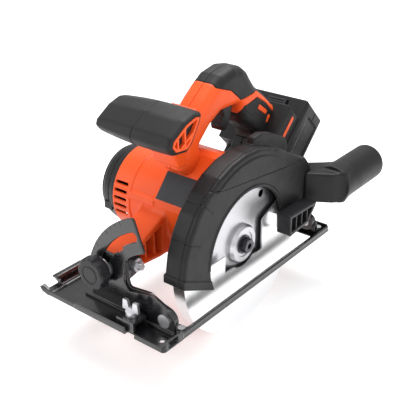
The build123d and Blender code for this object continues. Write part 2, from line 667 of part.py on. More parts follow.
# ---------------------------------------------------------------- handle
HANDLE = [(42, 128), (36, 146), (25, 160), (6, 176), (-6, 185), (-18, 192.5), (-36, 196), (-50, 193.5),
          (-59, 187), (-66, 177.5), (-73, 169), (-88, 157.5), (-98, 149), (-106, 141.5), (-125, 126),
          (-88, 89), (-77, 100), (-70, 93), (-57, 83), (-44, 74), (-30, 70), (0, 90), (32.5, 109.5), (41, 117)]
LOOP = [(-17, 158), (0, 149), (14, 136), (15, 131), (-12, 122), (-27, 113.5), (-37, 97), (-45, 92),
        (-56, 95), (-66, 103), (-74, 114), (-74, 119), (-64, 126), (-50, 136), (-48, 146), (-47, 158)]
GRIP_TOP = [(-4, 210), (-9, 183), (-29, 176), (-46, 162), (-73, 164.5), (-90, 152), (-102, 141),
            (-130, 150), (-80, 215)]
GRIP_REAR = [(-52, 154), (-72, 158), (-88, 148), (-102, 134), (-112, 128), (-96, 112), (-78, 110),
             (-60, 118), (-46, 134), (-49, 148)]
TRIGGER_PIN = (-25.0, 161.0)
WELL = (-47.5, -19.0)                 # where the trigger stands in the handle


def handle_face():
    face = fillet(flat(HANDLE).vertices().filter_by_position(Axis.Y, 130, 300), 3)
    return face - flat(LOOP)


def handle_core_face():
    return offset(handle_face(), amount=-5.5)


def grip_piece(region):
    lo, hi = HANDLE_Y - HANDLE_HALF, HANDLE_Y + HANDLE_HALF
    body = slab_y(handle_face() & flat(region), lo, hi)
    body -= slab_y(offset(handle_face(), amount=-2.5), lo + 2.5, hi - 2.5)
    return body - saddle_cut()


def handle_half(y0, y1, wall_y0, wall_y1):
    body = slab_y(handle_face(), y0, y1)
    body -= slab_y(handle_core_face(), wall_y0, wall_y1)
    body -= housing_envelope()
    body -= grip_piece(GRIP_TOP)
    body -= grip_piece(GRIP_REAR)
    body -= block(*WELL, -1.6, 13.6, 150, 170)
    body -= rod_y(*TRIGGER_PIN, 1.5, -4, 16)
    body -= saddle_cut()
    body -= rod_y(*LOCK_OFF, 5.2, -20, 0)
    for sx, sz in HANDLE_SCREWS:
        body -= rod_y(sx, sz, 2.0, -6.5, 17)
        body -= rod_y(sx, sz, 3.0, -12, -6.5)
    return body


HANDLE_SCREWS = [(34.0, 124.0), (12.0, 160.0), (-62.0, 159.8), (-60.0, 89.0)]
LOCK_OFF = (-22.0, 173.0)


def handle_screws():
    pieces = []
    for sx, sz in HANDLE_SCREWS:
        pieces.append(rod_y(sx, sz, 2.0, -6.5, 17) + rod_y(sx, sz, 3.0, -8.4, -6.5))
    return pieces


def screw_posts(y0, y1):
    posts = Part()
    for sx, sz in HANDLE_SCREWS:
        posts += ring_y(sx, sz, 2.0, 4.0, y0, y1)
    return posts


def trigger():
    face = flat([(-21.5, 164), (-32, 164), (-44, 161.5), (-44.5, 158), (-42, 148), (-39, 139), (-34, 133.5),
                 (-27, 134), (-26, 139), (-29, 148), (-27, 156), (-21.5, 157.5)])
    face = fillet(face.vertices(), 1.4)
    return slab_y(face, -1.0, 13.0) - rod_y(*TRIGGER_PIN, 1.5 + RUN, -5, 20)


def trigger_pin():
    return rod_y(*TRIGGER_PIN, 1.5, -4.5, 16.5)


def trigger_spring():
    """Return spring between the trigger's back and the switch."""
    path = Helix(pitch=0.85, height=2.5, radius=2.0, center=(0, 0, 0), direction=(0, 0, 1))
    profile = Plane(origin=path @ 0, z_dir=path % 0) * Circle(0.3)
    return Pos(-39, HANDLE_Y, 163.3) * sweep(profile, path=path)


def switch_body():
    return block(-54, -31, -3, 15, 166.2, 177)


def lock_off_button():
    return rod_y(*LOCK_OFF, 5.0, -13, -5.2)


# ---------------------------------------------------------------- forward handle
PAD = [(30, 176), (42, 178), (56, 174), (74, 163), (78, 154), (70, 145), (52, 143), (44, 150), (34, 166)]
PAD_Y0, PAD_Y1 = -58.0, 38.0
BRIDGE = [(28, 122), (46, 122), (56, 147), (44, 168), (18, 172)]


def pad_core_face():
    return offset(flat(PAD), amount=-3.2)


def front_handle_core():
    core = slab_y(pad_core_face(), PAD_Y0 + 4, PAD_Y1 - 1)
    core += slab_y(flat(BRIDGE), -9, 21)
    inset = offset(flat(PAD), amount=-5.6)
    core -= slab_y(inset, 25, PAD_Y1)
    core += slab_y((rect(50, 52.4, 130, 180) + rect(62, 64.4, 130, 180)) & pad_core_face(), 24.5, PAD_Y1 - 2)
    core -= slab_y(handle_face(), HANDLE_Y - HANDLE_HALF, HANDLE_Y + HANDLE_HALF)
    core -= housing_envelope()
    return core


def front_handle_pad():
    pad = slab_y(flat(PAD), PAD_Y0, PAD_Y1)
    ends = pad.faces().sort_by(Axis.Y)
    pad = chamfer(ends[0].edges(), 3)
    pad -= slab_y(pad_core_face(), PAD_Y0 + 4, PAD_Y1 + 1)
    pad -= slab_y(flat(BRIDGE), -9, 21)
    pad -= slab_y(handle_face(), HANDLE_Y - HANDLE_HALF, HANDLE_Y + HANDLE_HALF)
    return pad


def label_plate():
    nx, nz = 0.7546, 0.6562
    low, high = (50.4, 86.7), (31.8, 108.1)
    face = flat([low, high, (high[0] + 0.8 * nx, high[1] + 0.8 * nz), (low[0] + 0.8 * nx, low[1] + 0.8 * nz)])
    return slab_y(face, -5, 36) - housing_envelope()


# ---------------------------------------------------------------- battery seat and pack
SEAT = Plane(origin=(SADDLE_X, HANDLE_Y, SADDLE_Z), x_dir=(-0.70710678, 0, 0.70710678),
             z_dir=(0.70710678, 0, 0.70710678)).location


def seat_block(x0, x1, half_y, z0, z1):
    """Box in the frame of the battery seat: x up the slope, z toward the handle."""
    return SEAT * block(x0, x1, -half_y, half_y, z0, z1)


def battery_foot():
    foot = seat_block(-30, 22, 33, 2, 24)
    foot = fillet(foot.edges().filter_by(lambda e: abs(e.length - 22) < 0.1), 4)
    foot -= seat_block(-27, 19, 30, 1, 21)
    foot += seat_block(-30, 22, 33, 0, 2)
    foot -= seat_block(-29.3, 30, 21.8, -1, 3)
    foot -= seat_block(-29.3, 30, 24.3, 1.8, 3.5)
    return foot


def saddle_cut():
    return seat_block(-40, 60, 40, -30, 24)


def terminal_block():
    return seat_block(-12, 6, 12, 3.5, 21)


def pack_case_lower():
    case = seat_block(-48, 42, PACK_HALF_Y, -43, -22)
    case -= seat_block(-45.5, 39.5, PACK_HALF_Y - 2.5, -41.6, -21)
    return case


def pack_case_upper():
    case = seat_block(-48, 42, PACK_HALF_Y, -22, -0.3)
    case -= seat_block(-45.5, 39.5, PACK_HALF_Y - 2.5, -23, -3)
    rail = seat_block(-29, 17, 21.5, -0.8, 2.0) + seat_block(-29, 17, 24.0, 2.0, 3.2)
    case -= rod_along_seat(30, 7.0)
    return case + rail


def rod_along_seat(x, half):
    return seat_block(x - half, x + half, 12.0, -10, 1)


def pack_latch():
    return seat_block(23.4, 36.6, 11.6, -2.4, 3.0)


def cells():
    pieces = []
    for row in range(2):
        for column in range(4):
            x = -34 + column * 20.5
            z = -32.4 + row * 18.1
            rod = SEAT * (Pos(x, 0, z) * (Rot(90, 0, 0) * Cylinder(9.0, 64)))
            pieces.append(rod)
    return pieces


# ---------------------------------------------------------------- depth clamp
def depth_clamp_bolt():
    x, z = lock_place()
    return rod_y(x, z, 4.0, 24, 43.4) + rod_y(x, z, 7.0, 43.4, 45.4)


def depth_clamp_lever():
    x, z = lock_place()
    lever = rod_y(x, z, 9.0, 25.5, 37.3)
    tip = (x - 28, z + 14)
    arm = hull_of(disc(x, z, 7.5), disc(*tip, 6.0))
    lever += slab_y(arm, 25.5, 32)
    return lever - rod_y(x, z, 4.0 + RUN, 20, 45)


def build():
    save("base_plate", base_plate())
    save("bevel_uprights", front_quadrant(), rear_upright())
    rivets = [rivet(x, y, 2.9) for x, y in RIVETS_FRONT]
    rivets += [rivet(x, y, 4.0) for x, y in RIVETS_REAR]
    save("base_rivets", *rivets)
    save("bevel_pins", bevel_pin(QUAD_X1, BRACKET_X0 - 0.6, 1), bevel_pin(UPRIGHT_X0, -114.6, -1))
    save("fence_bridge", fence_bridge())
    save("fence_screw", fence_screw())
    save("front_bracket", front_bracket())
    save("depth_pivot_bolt", depth_bolt())
    save("depth_pivot_nut", depth_nut())
    save("depth_arm", depth_arm())
    save("bevel_lock_bolt", bevel_lock_bolt())
    save("bevel_washer", bevel_washer())
    save("bevel_knob", bevel_knob())
    save("upper_guard", upper_guard())
    save("dust_port", dust_port())
    save("lower_guard", lower_guard())
    save("guard_lever", guard_lever())
    save("guard_spring", guard_spring())
    save("retaining_ring", retaining_ring())
    save("housing_screws", *guard_screws(), *handle_screws())
    save("spindle", spindle())
    save("inner_flange", inner_flange())
    save("outer_flange", outer_flange())
    save("blade_bolt", blade_bolt())
    save("blade", blade())
    save("blade_tips", *[tip_block(i) for i in range(TEETH)])
    save("spindle_gear", spindle_gear())
    save("pinion", pinion())
    save("rotor_shaft", rotor_shaft())
    save("armature_core", armature_core())
    save("armature_windings", *windings())
    save("commutator", commutator())
    save("cooling_fan", fan())
    save("motor_can", motor_can())
    save("motor_magnets", *magnets())
    save("brushes", *brush_holders())
    save("ball_bearings", *spindle_bearings(), *motor_bearings())
    save("motor_housing", motor_housing())
    save("motor_end_cap", motor_end_cap())
    save("brush_caps", *brush_caps())
    save("gear_housing", gear_housing())
    save("gear_plate", gear_plate())
    left = handle_half(-10, 6, -4.5, 7) + screw_posts(-4.5, 6) + trigger_pin()
    save("handle_half_left", left)
    save("handle_half_right", handle_half(6, 22, 5, 16.5) + screw_posts(6, 16.5))
    save("grip_top", grip_piece(GRIP_TOP))
    save("grip_rear", grip_piece(GRIP_REAR))
    save("trigger", trigger())
    save("trigger_spring", trigger_spring())
    save("switch_body", switch_body())
    save("lock_off_button", lock_off_button())
    save("front_handle_core", front_handle_core())
    save("front_handle_pad", front_handle_pad())
    save("rating_plate", label_plate())
    save("battery_foot", battery_foot())
    save("terminal_block", terminal_block())
    save("pack_case", pack_case_upper() + pack_case_lower())
    save("pack_latch", pack_latch())
    save("battery_cells", *cells())
    save("depth_clamp_bolt", depth_clamp_bolt())
    save("depth_clamp_lever", depth_clamp_lever())


build()
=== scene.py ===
"""Looks of the circular saw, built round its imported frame.

Moulded and pressed parts are modelled as distance fields: each shape is a signed distance in
millimetres on a grid, shapes are joined and cut with real fillets, and the surface is meshed.
X counts from the middle of the base plate, +X the direction of cut, +Y the blade side, +Z up.
"""
import json
import math

import bpy
import numpy as np
import openvdb
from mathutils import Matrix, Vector

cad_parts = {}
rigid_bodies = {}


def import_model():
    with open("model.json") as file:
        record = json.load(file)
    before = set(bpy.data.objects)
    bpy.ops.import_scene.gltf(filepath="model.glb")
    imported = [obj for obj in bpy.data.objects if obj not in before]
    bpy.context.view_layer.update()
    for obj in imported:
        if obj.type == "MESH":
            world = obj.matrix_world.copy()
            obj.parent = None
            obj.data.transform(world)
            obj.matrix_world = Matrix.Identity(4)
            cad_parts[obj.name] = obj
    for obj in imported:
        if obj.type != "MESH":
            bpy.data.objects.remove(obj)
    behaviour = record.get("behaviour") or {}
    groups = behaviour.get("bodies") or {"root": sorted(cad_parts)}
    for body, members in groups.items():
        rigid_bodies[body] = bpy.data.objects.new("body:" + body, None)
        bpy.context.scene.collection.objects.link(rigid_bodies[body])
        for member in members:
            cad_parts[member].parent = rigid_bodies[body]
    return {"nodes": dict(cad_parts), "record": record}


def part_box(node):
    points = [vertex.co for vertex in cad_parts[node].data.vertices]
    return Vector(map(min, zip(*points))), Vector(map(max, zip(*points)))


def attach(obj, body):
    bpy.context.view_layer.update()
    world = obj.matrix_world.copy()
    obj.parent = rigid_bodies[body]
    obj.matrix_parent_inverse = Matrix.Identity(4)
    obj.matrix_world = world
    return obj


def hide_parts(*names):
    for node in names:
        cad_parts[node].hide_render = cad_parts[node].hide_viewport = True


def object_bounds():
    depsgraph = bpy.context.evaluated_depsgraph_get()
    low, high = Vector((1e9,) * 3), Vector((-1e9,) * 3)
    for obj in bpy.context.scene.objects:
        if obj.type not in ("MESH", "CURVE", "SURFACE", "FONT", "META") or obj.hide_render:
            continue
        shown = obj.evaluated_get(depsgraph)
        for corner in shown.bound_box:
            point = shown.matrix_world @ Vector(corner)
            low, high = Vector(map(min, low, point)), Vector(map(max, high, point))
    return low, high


for leftover in list(bpy.data.objects):
    bpy.data.objects.remove(leftover)
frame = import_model()
cad_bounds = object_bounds()
NODES = frame["nodes"]
BODY_OF = {n: body for body, names in frame["record"]["behaviour"]["bodies"].items() for n in names}
SLOT_OF = {s["node"]: s["material_slot"] for s in frame["record"]["subparts"]}
MM = 0.001
base_low, base_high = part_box("base_plate")
MID_X = (base_low.x + base_high.x) / 2 / MM

# ---------------------------------------------------------------- driving dimensions (mm)
SPIN_X, SPIN_Z = 0.0, 38.6
MOTOR_X, MOTOR_Z = 7.0, 68.8
DEPTH_X, DEPTH_Z = 99.0, 45.0
BEVEL_Y, BEVEL_Z = 60.0, 14.0
KNOB_R, KNOB_ANGLE = 78.0, 161.0
HANDLE_Y, HANDLE_HALF = 6.0, 16.0
UPPER_R = 95.5
SEAT_X, SEAT_Z = -109.5, 110.5
FINE, COARSE = 0.45, 0.7
NOWHERE = 1e3                         # the distance field of an empty shape


# ---------------------------------------------------------------- distance fields
class Grid:
    """A box of space, sampled every step millimetres."""

    def __init__(self, low, high, step=COARSE):
        self.step = step
        self.low = [v - 3 * step for v in low]
        axes = [np.arange(a, b + 3 * step, step, dtype=np.float32) for a, b in zip(self.low, high)]
        self.x = axes[0][:, None, None]
        self.y = axes[1][None, :, None]
        self.z = axes[2][None, None, :]
        # the battery seat's own axes: up the slope, and towards the handle
        s = math.sqrt(0.5)
        self.up = (SEAT_X - self.x) * s + (self.z - SEAT_Z) * s
        self.out = (self.x - SEAT_X) * s + (self.z - SEAT_Z) * s


def outline(points, u, v):
    """Signed distance to a closed polygon."""
    best = np.float32(1e9)
    inside = False
    for (ax, ay), (bx, by) in zip(points, points[1:] + points[:1]):
        ex, ey = bx - ax, by - ay
        t = np.clip(((u - ax) * ex + (v - ay) * ey) / (ex * ex + ey * ey), 0, 1)
        best = np.minimum(best, (u - ax - ex * t) ** 2 + (v - ay - ey * t) ** 2)
        if ay != by:
            crosses = ((ay > v) != (by > v)) & (u < ex * (v - ay) / ey + ax)
            inside = inside ^ crosses
    return np.where(inside, -1, 1).astype(np.float32) * np.sqrt(best)


def extrude(flat, w, w0, w1, r=1.0):
    """Give a 2-D distance a thickness, with its rims rounded by r."""
    p = flat + r
    q = np.abs(w - (w0 + w1) / 2) - (w1 - w0) / 2 + r
    return np.minimum(np.maximum(p, q), 0) + np.sqrt(np.maximum(p, 0) ** 2 + np.maximum(q, 0) ** 2) - r


def slab_y(g, points, y0, y1, r=1.0):
    return extrude(outline(points, g.x, g.z), g.y, y0, y1, r)


def slab_x(g, points, x0, x1, r=1.0):
    return extrude(outline(points, g.y, g.z), g.x, x0, x1, r)


def slab_z(g, points, z0, z1, r=1.0):
    return extrude(outline(points, g.x, g.y), g.z, z0, z1, r)


def rod_y(g, x, z, radius, y0, y1, r=0.5):
    return extrude(np.hypot(g.x - x, g.z - z) - radius, g.y, y0, y1, r)


def rod_x(g, y, z, radius, x0, x1, r=0.5):
    return extrude(np.hypot(g.y - y, g.z - z) - radius, g.x, x0, x1, r)


def rod_z(g, x, y, radius, z0, z1, r=0.5):
    return extrude(np.hypot(g.x - x, g.y - y) - radius, g.z, z0, z1, r)


def brick(g, x0, x1, y0, y1, z0, z1, r=0.6):
    return slab_z(g, [(x0, y0), (x1, y0), (x1, y1), (x0, y1)], z0, z1, r)


def seat_brick(g, u0, u1, half, w0, w1, r=1.0, middle=HANDLE_Y):
    """Box in the battery seat's axes, half wide each side of the middle."""
    flat = outline([(u0, w0), (u1, w0), (u1, w1), (u0, w1)], g.up, g.out)
    return extrude(flat, g.y, middle - half, middle + half, r)


def join(a, b, k=0.0):
    """Union, with a fillet of about k."""
    if k <= 0:
        return np.minimum(a, b)
    near = np.maximum(k - np.abs(a - b), 0) / k
    return np.minimum(a, b) - near * near * k / 4


def keep(a, b, k=0.0):
    return -join(-a, -b, k)


def cut(a, b, k=0.0):
    return -join(-a, b, k)


def polar(x, z, r, degrees):
    a = math.radians(degrees)
    return (x + r * math.cos(a), z + r * math.sin(a))


def arc(x, z, r, a0, a1, step=4.0):
    n = max(2, int(abs(a1 - a0) / step))
    return [polar(x, z, r, a0 + (a1 - a0) * i / n) for i in range(n + 1)]


def sector(x, z, r0, r1, a0, a1):
    return arc(x, z, r1, a0, a1) + arc(x, z, r0, a1, a0)


def rounded(points, radius):
    """The polygon with each corner swapped for an arc of about that radius."""
    result = []
    count = len(points)
    for i in range(count):
        p, q, s = (Vector(points[(i + k) % count]) for k in (-1, 0, 1))
        back, on = p - q, s - q
        half = back.angle(on) / 2
        reach = min(radius / math.tan(half), 0.45 * back.length, 0.45 * on.length)
        start, end = q + back.normalized() * reach, q + on.normalized() * reach
        for t in (0, 0.25, 0.5, 0.75, 1):
            blend = (1 - t) ** 2 * start + 2 * t * (1 - t) * q + t * t * end
            result.append((blend.x, blend.y))
    return result


def sample(field, where):
    """Trilinear reading of a field at grid coordinates."""
    base = np.clip(where.astype(int), 0, np.array(field.shape) - 2)
    f = where - base
    total = 0
    for corner in range(8):
        dx, dy, dz = corner & 1, corner >> 1 & 1, corner >> 2
        share = (f[:, 0] if dx else 1 - f[:, 0]) * (f[:, 1] if dy else 1 - f[:, 1])
        share = share * (f[:, 2] if dz else 1 - f[:, 2])
        total = total + share * field[base[:, 0] + dx, base[:, 1] + dy, base[:, 2] + dz]
    return total


def mesh_field(g, field, name, adaptivity=0.04):
    """Mesh the surface of a field, with its normals taken from the field."""
    shape = np.broadcast_shapes(g.x.shape, g.y.shape, g.z.shape)
    band = 3 * g.step
    field = np.ascontiguousarray(np.clip(np.broadcast_to(field, shape), -band, band), np.float32)
    volume = openvdb.FloatGrid(band)
    volume.copyFromArray(field)
    points, triangles, quads = volume.convertToPolygons(isovalue=0.0, adaptivity=adaptivity)
    normals = []
    for axis in range(3):
        shift = np.zeros(3)
        shift[axis] = 0.7
        normals.append(sample(field, points + shift) - sample(field, points - shift))
    normals = np.stack(normals, 1)
    normals /= np.maximum(np.linalg.norm(normals, axis=1, keepdims=True), 1e-6)
    place = (points * g.step + np.array(g.low) + np.array([MID_X, 0, 0])) * MM
    faces = [tuple(f) for f in np.asarray(triangles)] + [tuple(f) for f in np.asarray(quads)]
    mesh = bpy.data.meshes.new(name)
    mesh.from_pydata(place.tolist(), [], faces)
    mesh.validate()
    mesh.update()
    outward = sum(p.normal.dot(Vector(normals[p.vertices[0]])) for p in list(mesh.polygons)[:400])
    if outward < 0:
        mesh.flip_normals()
    for polygon in mesh.polygons:
        polygon.use_smooth = True
    mesh.normals_split_custom_set_from_vertices([tuple(n) for n in normals])
    return mesh


def piece(g, field, name, body, slot, material, replaced=(), adaptivity=0.04):
    obj = bpy.data.objects.new(name, mesh_field(g, field, name, adaptivity))
    bpy.context.scene.collection.objects.link(obj)
    obj.data.materials.append(material)
    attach(obj, body)
    if replaced:
        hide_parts(*replaced)
    return obj


# ---------------------------------------------------------------- materials
class Look:
    """A material under construction: its tree, shader and object coordinates."""

    def __init__(self, name, color, roughness, metallic=0.0, coat=0.0):
        self.material = bpy.data.materials.new(name)
        self.material.use_nodes = True
        self.nodes = self.material.node_tree.nodes
        self.links = self.material.node_tree.links
        self.shader = self.nodes["Principled BSDF"]
        self.color = color
        self.shader.inputs["Base Color"].default_value = (*color, 1)
        self.shader.inputs["Roughness"].default_value = roughness
        self.shader.inputs["Metallic"].default_value = metallic
        self.shader.inputs["Coat Weight"].default_value = coat
        self.roughness = roughness
        self.place = self.nodes.new("ShaderNodeTexCoord").outputs["Object"]
        self.height = None

    def noise(self, scale, detail=3.0, stretch=(1, 1, 1)):
        mapping = self.nodes.new("ShaderNodeMapping")
        mapping.inputs["Scale"].default_value = stretch
        self.links.new(self.place, mapping.inputs["Vector"])
        node = self.nodes.new("ShaderNodeTexNoise")
        node.inputs["Scale"].default_value = scale
        node.inputs["Detail"].default_value = detail
        self.links.new(mapping.outputs["Vector"], node.inputs["Vector"])
        return node.outputs["Fac"]

    def pebbles(self, scale):
        node = self.nodes.new("ShaderNodeTexVoronoi")
        node.feature = "SMOOTH_F1"
        node.inputs["Scale"].default_value = scale
        self.links.new(self.place, node.inputs["Vector"])
        return node.outputs["Distance"]

    def remap(self, value, low, high, start=0.3, end=0.7):
        node = self.nodes.new("ShaderNodeMapRange")
        node.inputs["From Min"].default_value = start
        node.inputs["From Max"].default_value = end
        node.inputs["To Min"].default_value = low
        node.inputs["To Max"].default_value = high
        self.links.new(value, node.inputs["Value"])
        return node.outputs["Result"]

    def vary_roughness(self, value, spread):
        out = self.remap(value, self.roughness - spread, self.roughness + spread)
        self.links.new(out, self.shader.inputs["Roughness"])

    def vary_color(self, value, other, share=1.0):
        """Mix towards another colour where the value is high."""
        mix = self.nodes.new("ShaderNodeMix")
        mix.data_type = "RGBA"
        mix.inputs["A"].default_value = (*self.color, 1)
        mix.inputs["B"].default_value = (*other, 1)
        self.links.new(self.remap(value, 0.0, share), mix.inputs["Factor"])
        self.links.new(mix.outputs["Result"], self.shader.inputs["Base Color"])

    def wear_and_highlight_edges(self, other, share=0.6):
        """Lighten the convex edges, broken up by noise: edge wear on the black parts, a painted highlight on
        the orange shell.
        """
        geometry = self.nodes.new("ShaderNodeNewGeometry")
        edge = self.remap(geometry.outputs["Pointiness"], 0.0, share, 0.53, 0.62)
        multiply = self.nodes.new("ShaderNodeMath")
        multiply.operation = "MULTIPLY"
        self.links.new(edge, multiply.inputs[0])
        self.links.new(self.remap(self.noise(260.0), 0.2, 1.0), multiply.inputs[1])
        mix = self.nodes.new("ShaderNodeMix")
        mix.data_type = "RGBA"
        source = self.shader.inputs["Base Color"]
        if source.links:
            self.links.new(source.links[0].from_socket, mix.inputs["A"])
        else:
            mix.inputs["A"].default_value = source.default_value[:]
        mix.inputs["B"].default_value = (*other, 1)
        self.links.new(multiply.outputs["Value"], mix.inputs["Factor"])
        self.links.new(mix.outputs["Result"], source)

    def bump(self, value, strength, depth_mm):
        node = self.nodes.new("ShaderNodeBump")
        node.inputs["Strength"].default_value = strength
        node.inputs["Distance"].default_value = depth_mm * MM
        self.links.new(value, node.inputs["Height"])
        if self.height is not None:
            self.links.new(self.height, node.inputs["Normal"])
        self.height = node.outputs["Normal"]
        self.links.new(self.height, self.shader.inputs["Normal"])


def moulded(name, color, roughness, grain=900.0, depth=0.05, drift=(0, 0, 0), wear_and_highlight=None):
    """Spark-textured plastic with slight colour drift."""
    look = Look(name, color, roughness)
    look.shader.inputs["Specular IOR Level"].default_value = 0.28
    look.vary_color(look.noise(24.0, 2.0), tuple(c * 0.86 + d for c, d in zip(color, drift)), 0.8)
    look.vary_roughness(look.noise(70.0, 4.0), 0.05)
    look.bump(look.noise(grain, 2.0), 0.35, depth)
    # lighter edges: wear on black parts, painted highlight on the orange shell
    if wear_and_highlight:
        look.wear_and_highlight_edges(wear_and_highlight)
    return look.material


def soft_rubber(name, color, roughness=0.62):
    look = Look(name, color, roughness)
    look.shader.inputs["Specular IOR Level"].default_value = 0.28
    look.shader.inputs["Sheen Weight"].default_value = 0.03
    look.shader.inputs["Sheen Roughness"].default_value = 0.5
    look.vary_roughness(look.noise(55.0, 4.0), 0.06)
    look.vary_color(look.noise(18.0, 2.0), tuple(c * 1.25 for c in color), 0.7)
    look.bump(look.pebbles(1300.0), 0.25, 0.06)
    return look.material


def metal(name, color, roughness, stretch=(1, 1, 1), grain=1400.0, spread=0.08):
    look = Look(name, color, roughness, metallic=1.0)
    look.vary_roughness(look.noise(grain / 4, 4.0, stretch), spread)
    look.vary_color(look.noise(12.0, 2.0), tuple(c * 0.93 for c in color), 0.7)
    look.bump(look.noise(grain, 3.0, stretch), 0.05, 0.01)
    return look.material


def paint(name, color, roughness, wear_and_highlight=None):
    look = Look(name, color, roughness, coat=0.35)
    look.shader.inputs["Coat Roughness"].default_value = 0.12
    look.vary_roughness(look.noise(90.0, 4.0), 0.07)
    look.vary_color(look.noise(40.0, 3.0), tuple(c * 1.6 for c in color), 0.5)
    look.bump(look.noise(420.0, 2.0), 0.10, 0.05)
    if wear_and_highlight:
        look.wear_and_highlight_edges(wear_and_highlight, 0.5)
    return look.material


ORANGE = (0.86, 0.095, 0.014)
LOOKS = {
    "base_black": paint("black_gloss_paint", (0.006, 0.006, 0.007), 0.24, wear_and_highlight=(0.035, 0.035, 0.038)),
    "steel": metal("zinc_steel", (0.60, 0.60, 0.62), 0.34, spread=0.02),
    "guard_silver": metal("satin_guard_steel", (0.92, 0.92, 0.93), 0.30, (1, 1, 0.12), 900.0, 0.02),
    "dark_steel": metal("dark_steel", (0.10, 0.10, 0.11), 0.38),
    "carbide": metal("carbide", (0.35, 0.36, 0.38), 0.35),
    "guard_black": moulded("guard_black_plastic", (0.007, 0.007, 0.008), 0.46, 700.0, 0.05,
                           wear_and_highlight=(0.03, 0.03, 0.033)),
    # the orange shell's lighter edge tint is a painted highlight, in the shell's highlight colour
    "shell_orange": moulded("orange_plastic", ORANGE, 0.40, 1100.0, 0.03, wear_and_highlight=(0.95, 0.22, 0.09)),
    "shell_black": moulded("shell_black_plastic", (0.007, 0.007, 0.008), 0.42, 800.0, 0.04,
                           wear_and_highlight=(0.03, 0.03, 0.033)),
    "rubber": soft_rubber("grip_rubber", (0.008, 0.008, 0.009), 0.50),
    "knob_black": moulded("knob_black_plastic", (0.014, 0.014, 0.016), 0.40, 900.0, 0.05,
                          wear_and_highlight=(0.05, 0.05, 0.055)),
    "cast": metal("cast_aluminium", (0.52, 0.53, 0.54), 0.5, grain=700.0),
    "copper": metal("copper_wire", (0.78, 0.36, 0.19), 0.32, (1, 12, 1), 900.0),
    "iron": metal("laminated_iron", (0.25, 0.24, 0.24), 0.48, (1, 30, 1), 700.0),
    "fan_grey": moulded("fan_grey_plastic", (0.12, 0.13, 0.14), 0.5),
    "plate_dark": moulded("plain_dark_plate", (0.025, 0.026, 0.030), 0.30, 300.0, 0.01),
    "cell_blue": moulded("cell_sleeve", (0.03, 0.12, 0.38), 0.30, 300.0, 0.01),
    "spring_steel": metal("spring_wire", (0.55, 0.47, 0.38), 0.30),
}


def look_of(node):
    return LOOKS[SLOT_OF[node]]


def node_piece(g, field, node, **options):
    """A piece that stands for one CAD node, on its body and with its slot's material."""
    name = options.pop("name", node + "_shell")
    replaced = options.pop("replaced", (node,))
    return piece(g, field, name, BODY_OF[node], SLOT_OF[node], look_of(node), replaced, **options)


# ---------------------------------------------------------------- motor housing
SHOULDER = [(50, 57), (52.5, 80), (51, 86), (31, 109), (17, 127), (10, 130), (-12, 122),
            (-27, 113), (-39, 93), (-41, 60), (-33, 24), (-12, 6), (12, 6), (36, 22)]
FOOT = [(34, 86), (50, 76), (101, 53.3), (98.5, 36.6), (60, 33), (36, 34)]
BARREL_R, BARREL_Y0 = 44.0, -62.0
SHOULDER_Y0, SHOULDER_Y1 = -8.0, 42.6
VENT_HEIGHTS = (57.5, 65.0, 72.5, 80.0, 87.5)
VENT_SIDES = ((34, 62), (-52, -22))


def housing_envelope(g):
    barrel = rod_y(g, MOTOR_X, MOTOR_Z, BARREL_R, BARREL_Y0, SHOULDER_Y0 + 4, 0.8)
    shoulder = slab_y(g, rounded(SHOULDER, 5), SHOULDER_Y0, SHOULDER_Y1, 2.0)
    return join(barrel, shoulder, 3.0)


def make_motor_housing():
    g = Grid((-44, -63, 4), (109, 44, 131), COARSE)
    body = housing_envelope(g)
    foot = slab_y(g, rounded(FOOT, 3), -22, 8, 2.0)
    foot = join(foot, rod_y(g, DEPTH_X, DEPTH_Z, 8.0, -22, 8, 1.0), 2.0)
    foot = cut(foot, slab_y(g, rounded([(56, 66), (90, 53.5), (88, 39.5), (58, 38)], 2), -19, 12, 1.0), 1.0)
    for x in (66, 78):
        foot = join(foot, keep(brick(g, x - 1.2, x + 1.2, -20, 6, 38, 70), outline(FOOT, g.x, g.z)), 0.8)
    body = join(body, foot, 5.0)
    strip = slab_y(g, [(46, 79), (53.2, 78.5), (52.6, 84.5), (46, 86)], -37, -6, 0.6)
    body = join(body, strip, 0.8)
    band = rod_y(g, MOTOR_X, MOTOR_Z, BARREL_R + 0.9, -41.5, -38.5, 0.6)
    body = join(body, keep(band, -rod_y(g, MOTOR_X, MOTOR_Z, 30, -80, 20)), 0.6)
    inside = join(rod_y(g, MOTOR_X, MOTOR_Z, BARREL_R - 3, -70, SHOULDER_Y0 + 3),
                  slab_y(g, rounded(SHOULDER, 5), SHOULDER_Y0 + 3, 60, 1.0) + 3.0)
    body = cut(body, inside)
    for z in VENT_HEIGHTS:
        for x0, x1 in VENT_SIDES:
            vent = [(-60, z - 1.5), (-44, z - 1.5), (-44, z + 1.5), (-60, z + 1.5)]
            body = cut(body, slab_x(g, rounded(vent, 1.2), x0, x1, 0.3), 0.8)
    body = cut(body, rod_y(g, DEPTH_X, DEPTH_Z, 4.0, -40, 40))
    return node_piece(g, body, "motor_housing")


def make_end_cap():
    g = Grid((-37, -87, 25), (51, -60, 113), 0.6)
    across = np.hypot(g.x - MOTOR_X, g.z - MOTOR_Z)
    profile = [(0, -86), (30, -86), (36.5, -83.5), (39.5, -78), (42.5, -64), (42.5, -62), (0, -62)]
    cap = outline(profile, across, g.y)
    cap = cut(cap, rod_y(g, MOTOR_X, MOTOR_Z, 38, -82, -50, 2.0))
    cap = cut(cap, np.maximum(np.abs(across - 40.2) - 0.5, np.abs(g.y + 70.5) - 0.45) - 0.1, 0.5)
    for i in range(6):
        x, z = polar(MOTOR_X, MOTOR_Z, 23, 60 * i + 30)
        cap = cut(cap, rod_y(g, x, z, 4.0, -90, -78), 0.8)
    cap = cut(cap, np.abs(across - 15.5) - 0.5 + np.maximum(-85.2 - g.y, g.y + 85.2) * 0.6, 0.4)
    return node_piece(g, cap, "motor_end_cap")


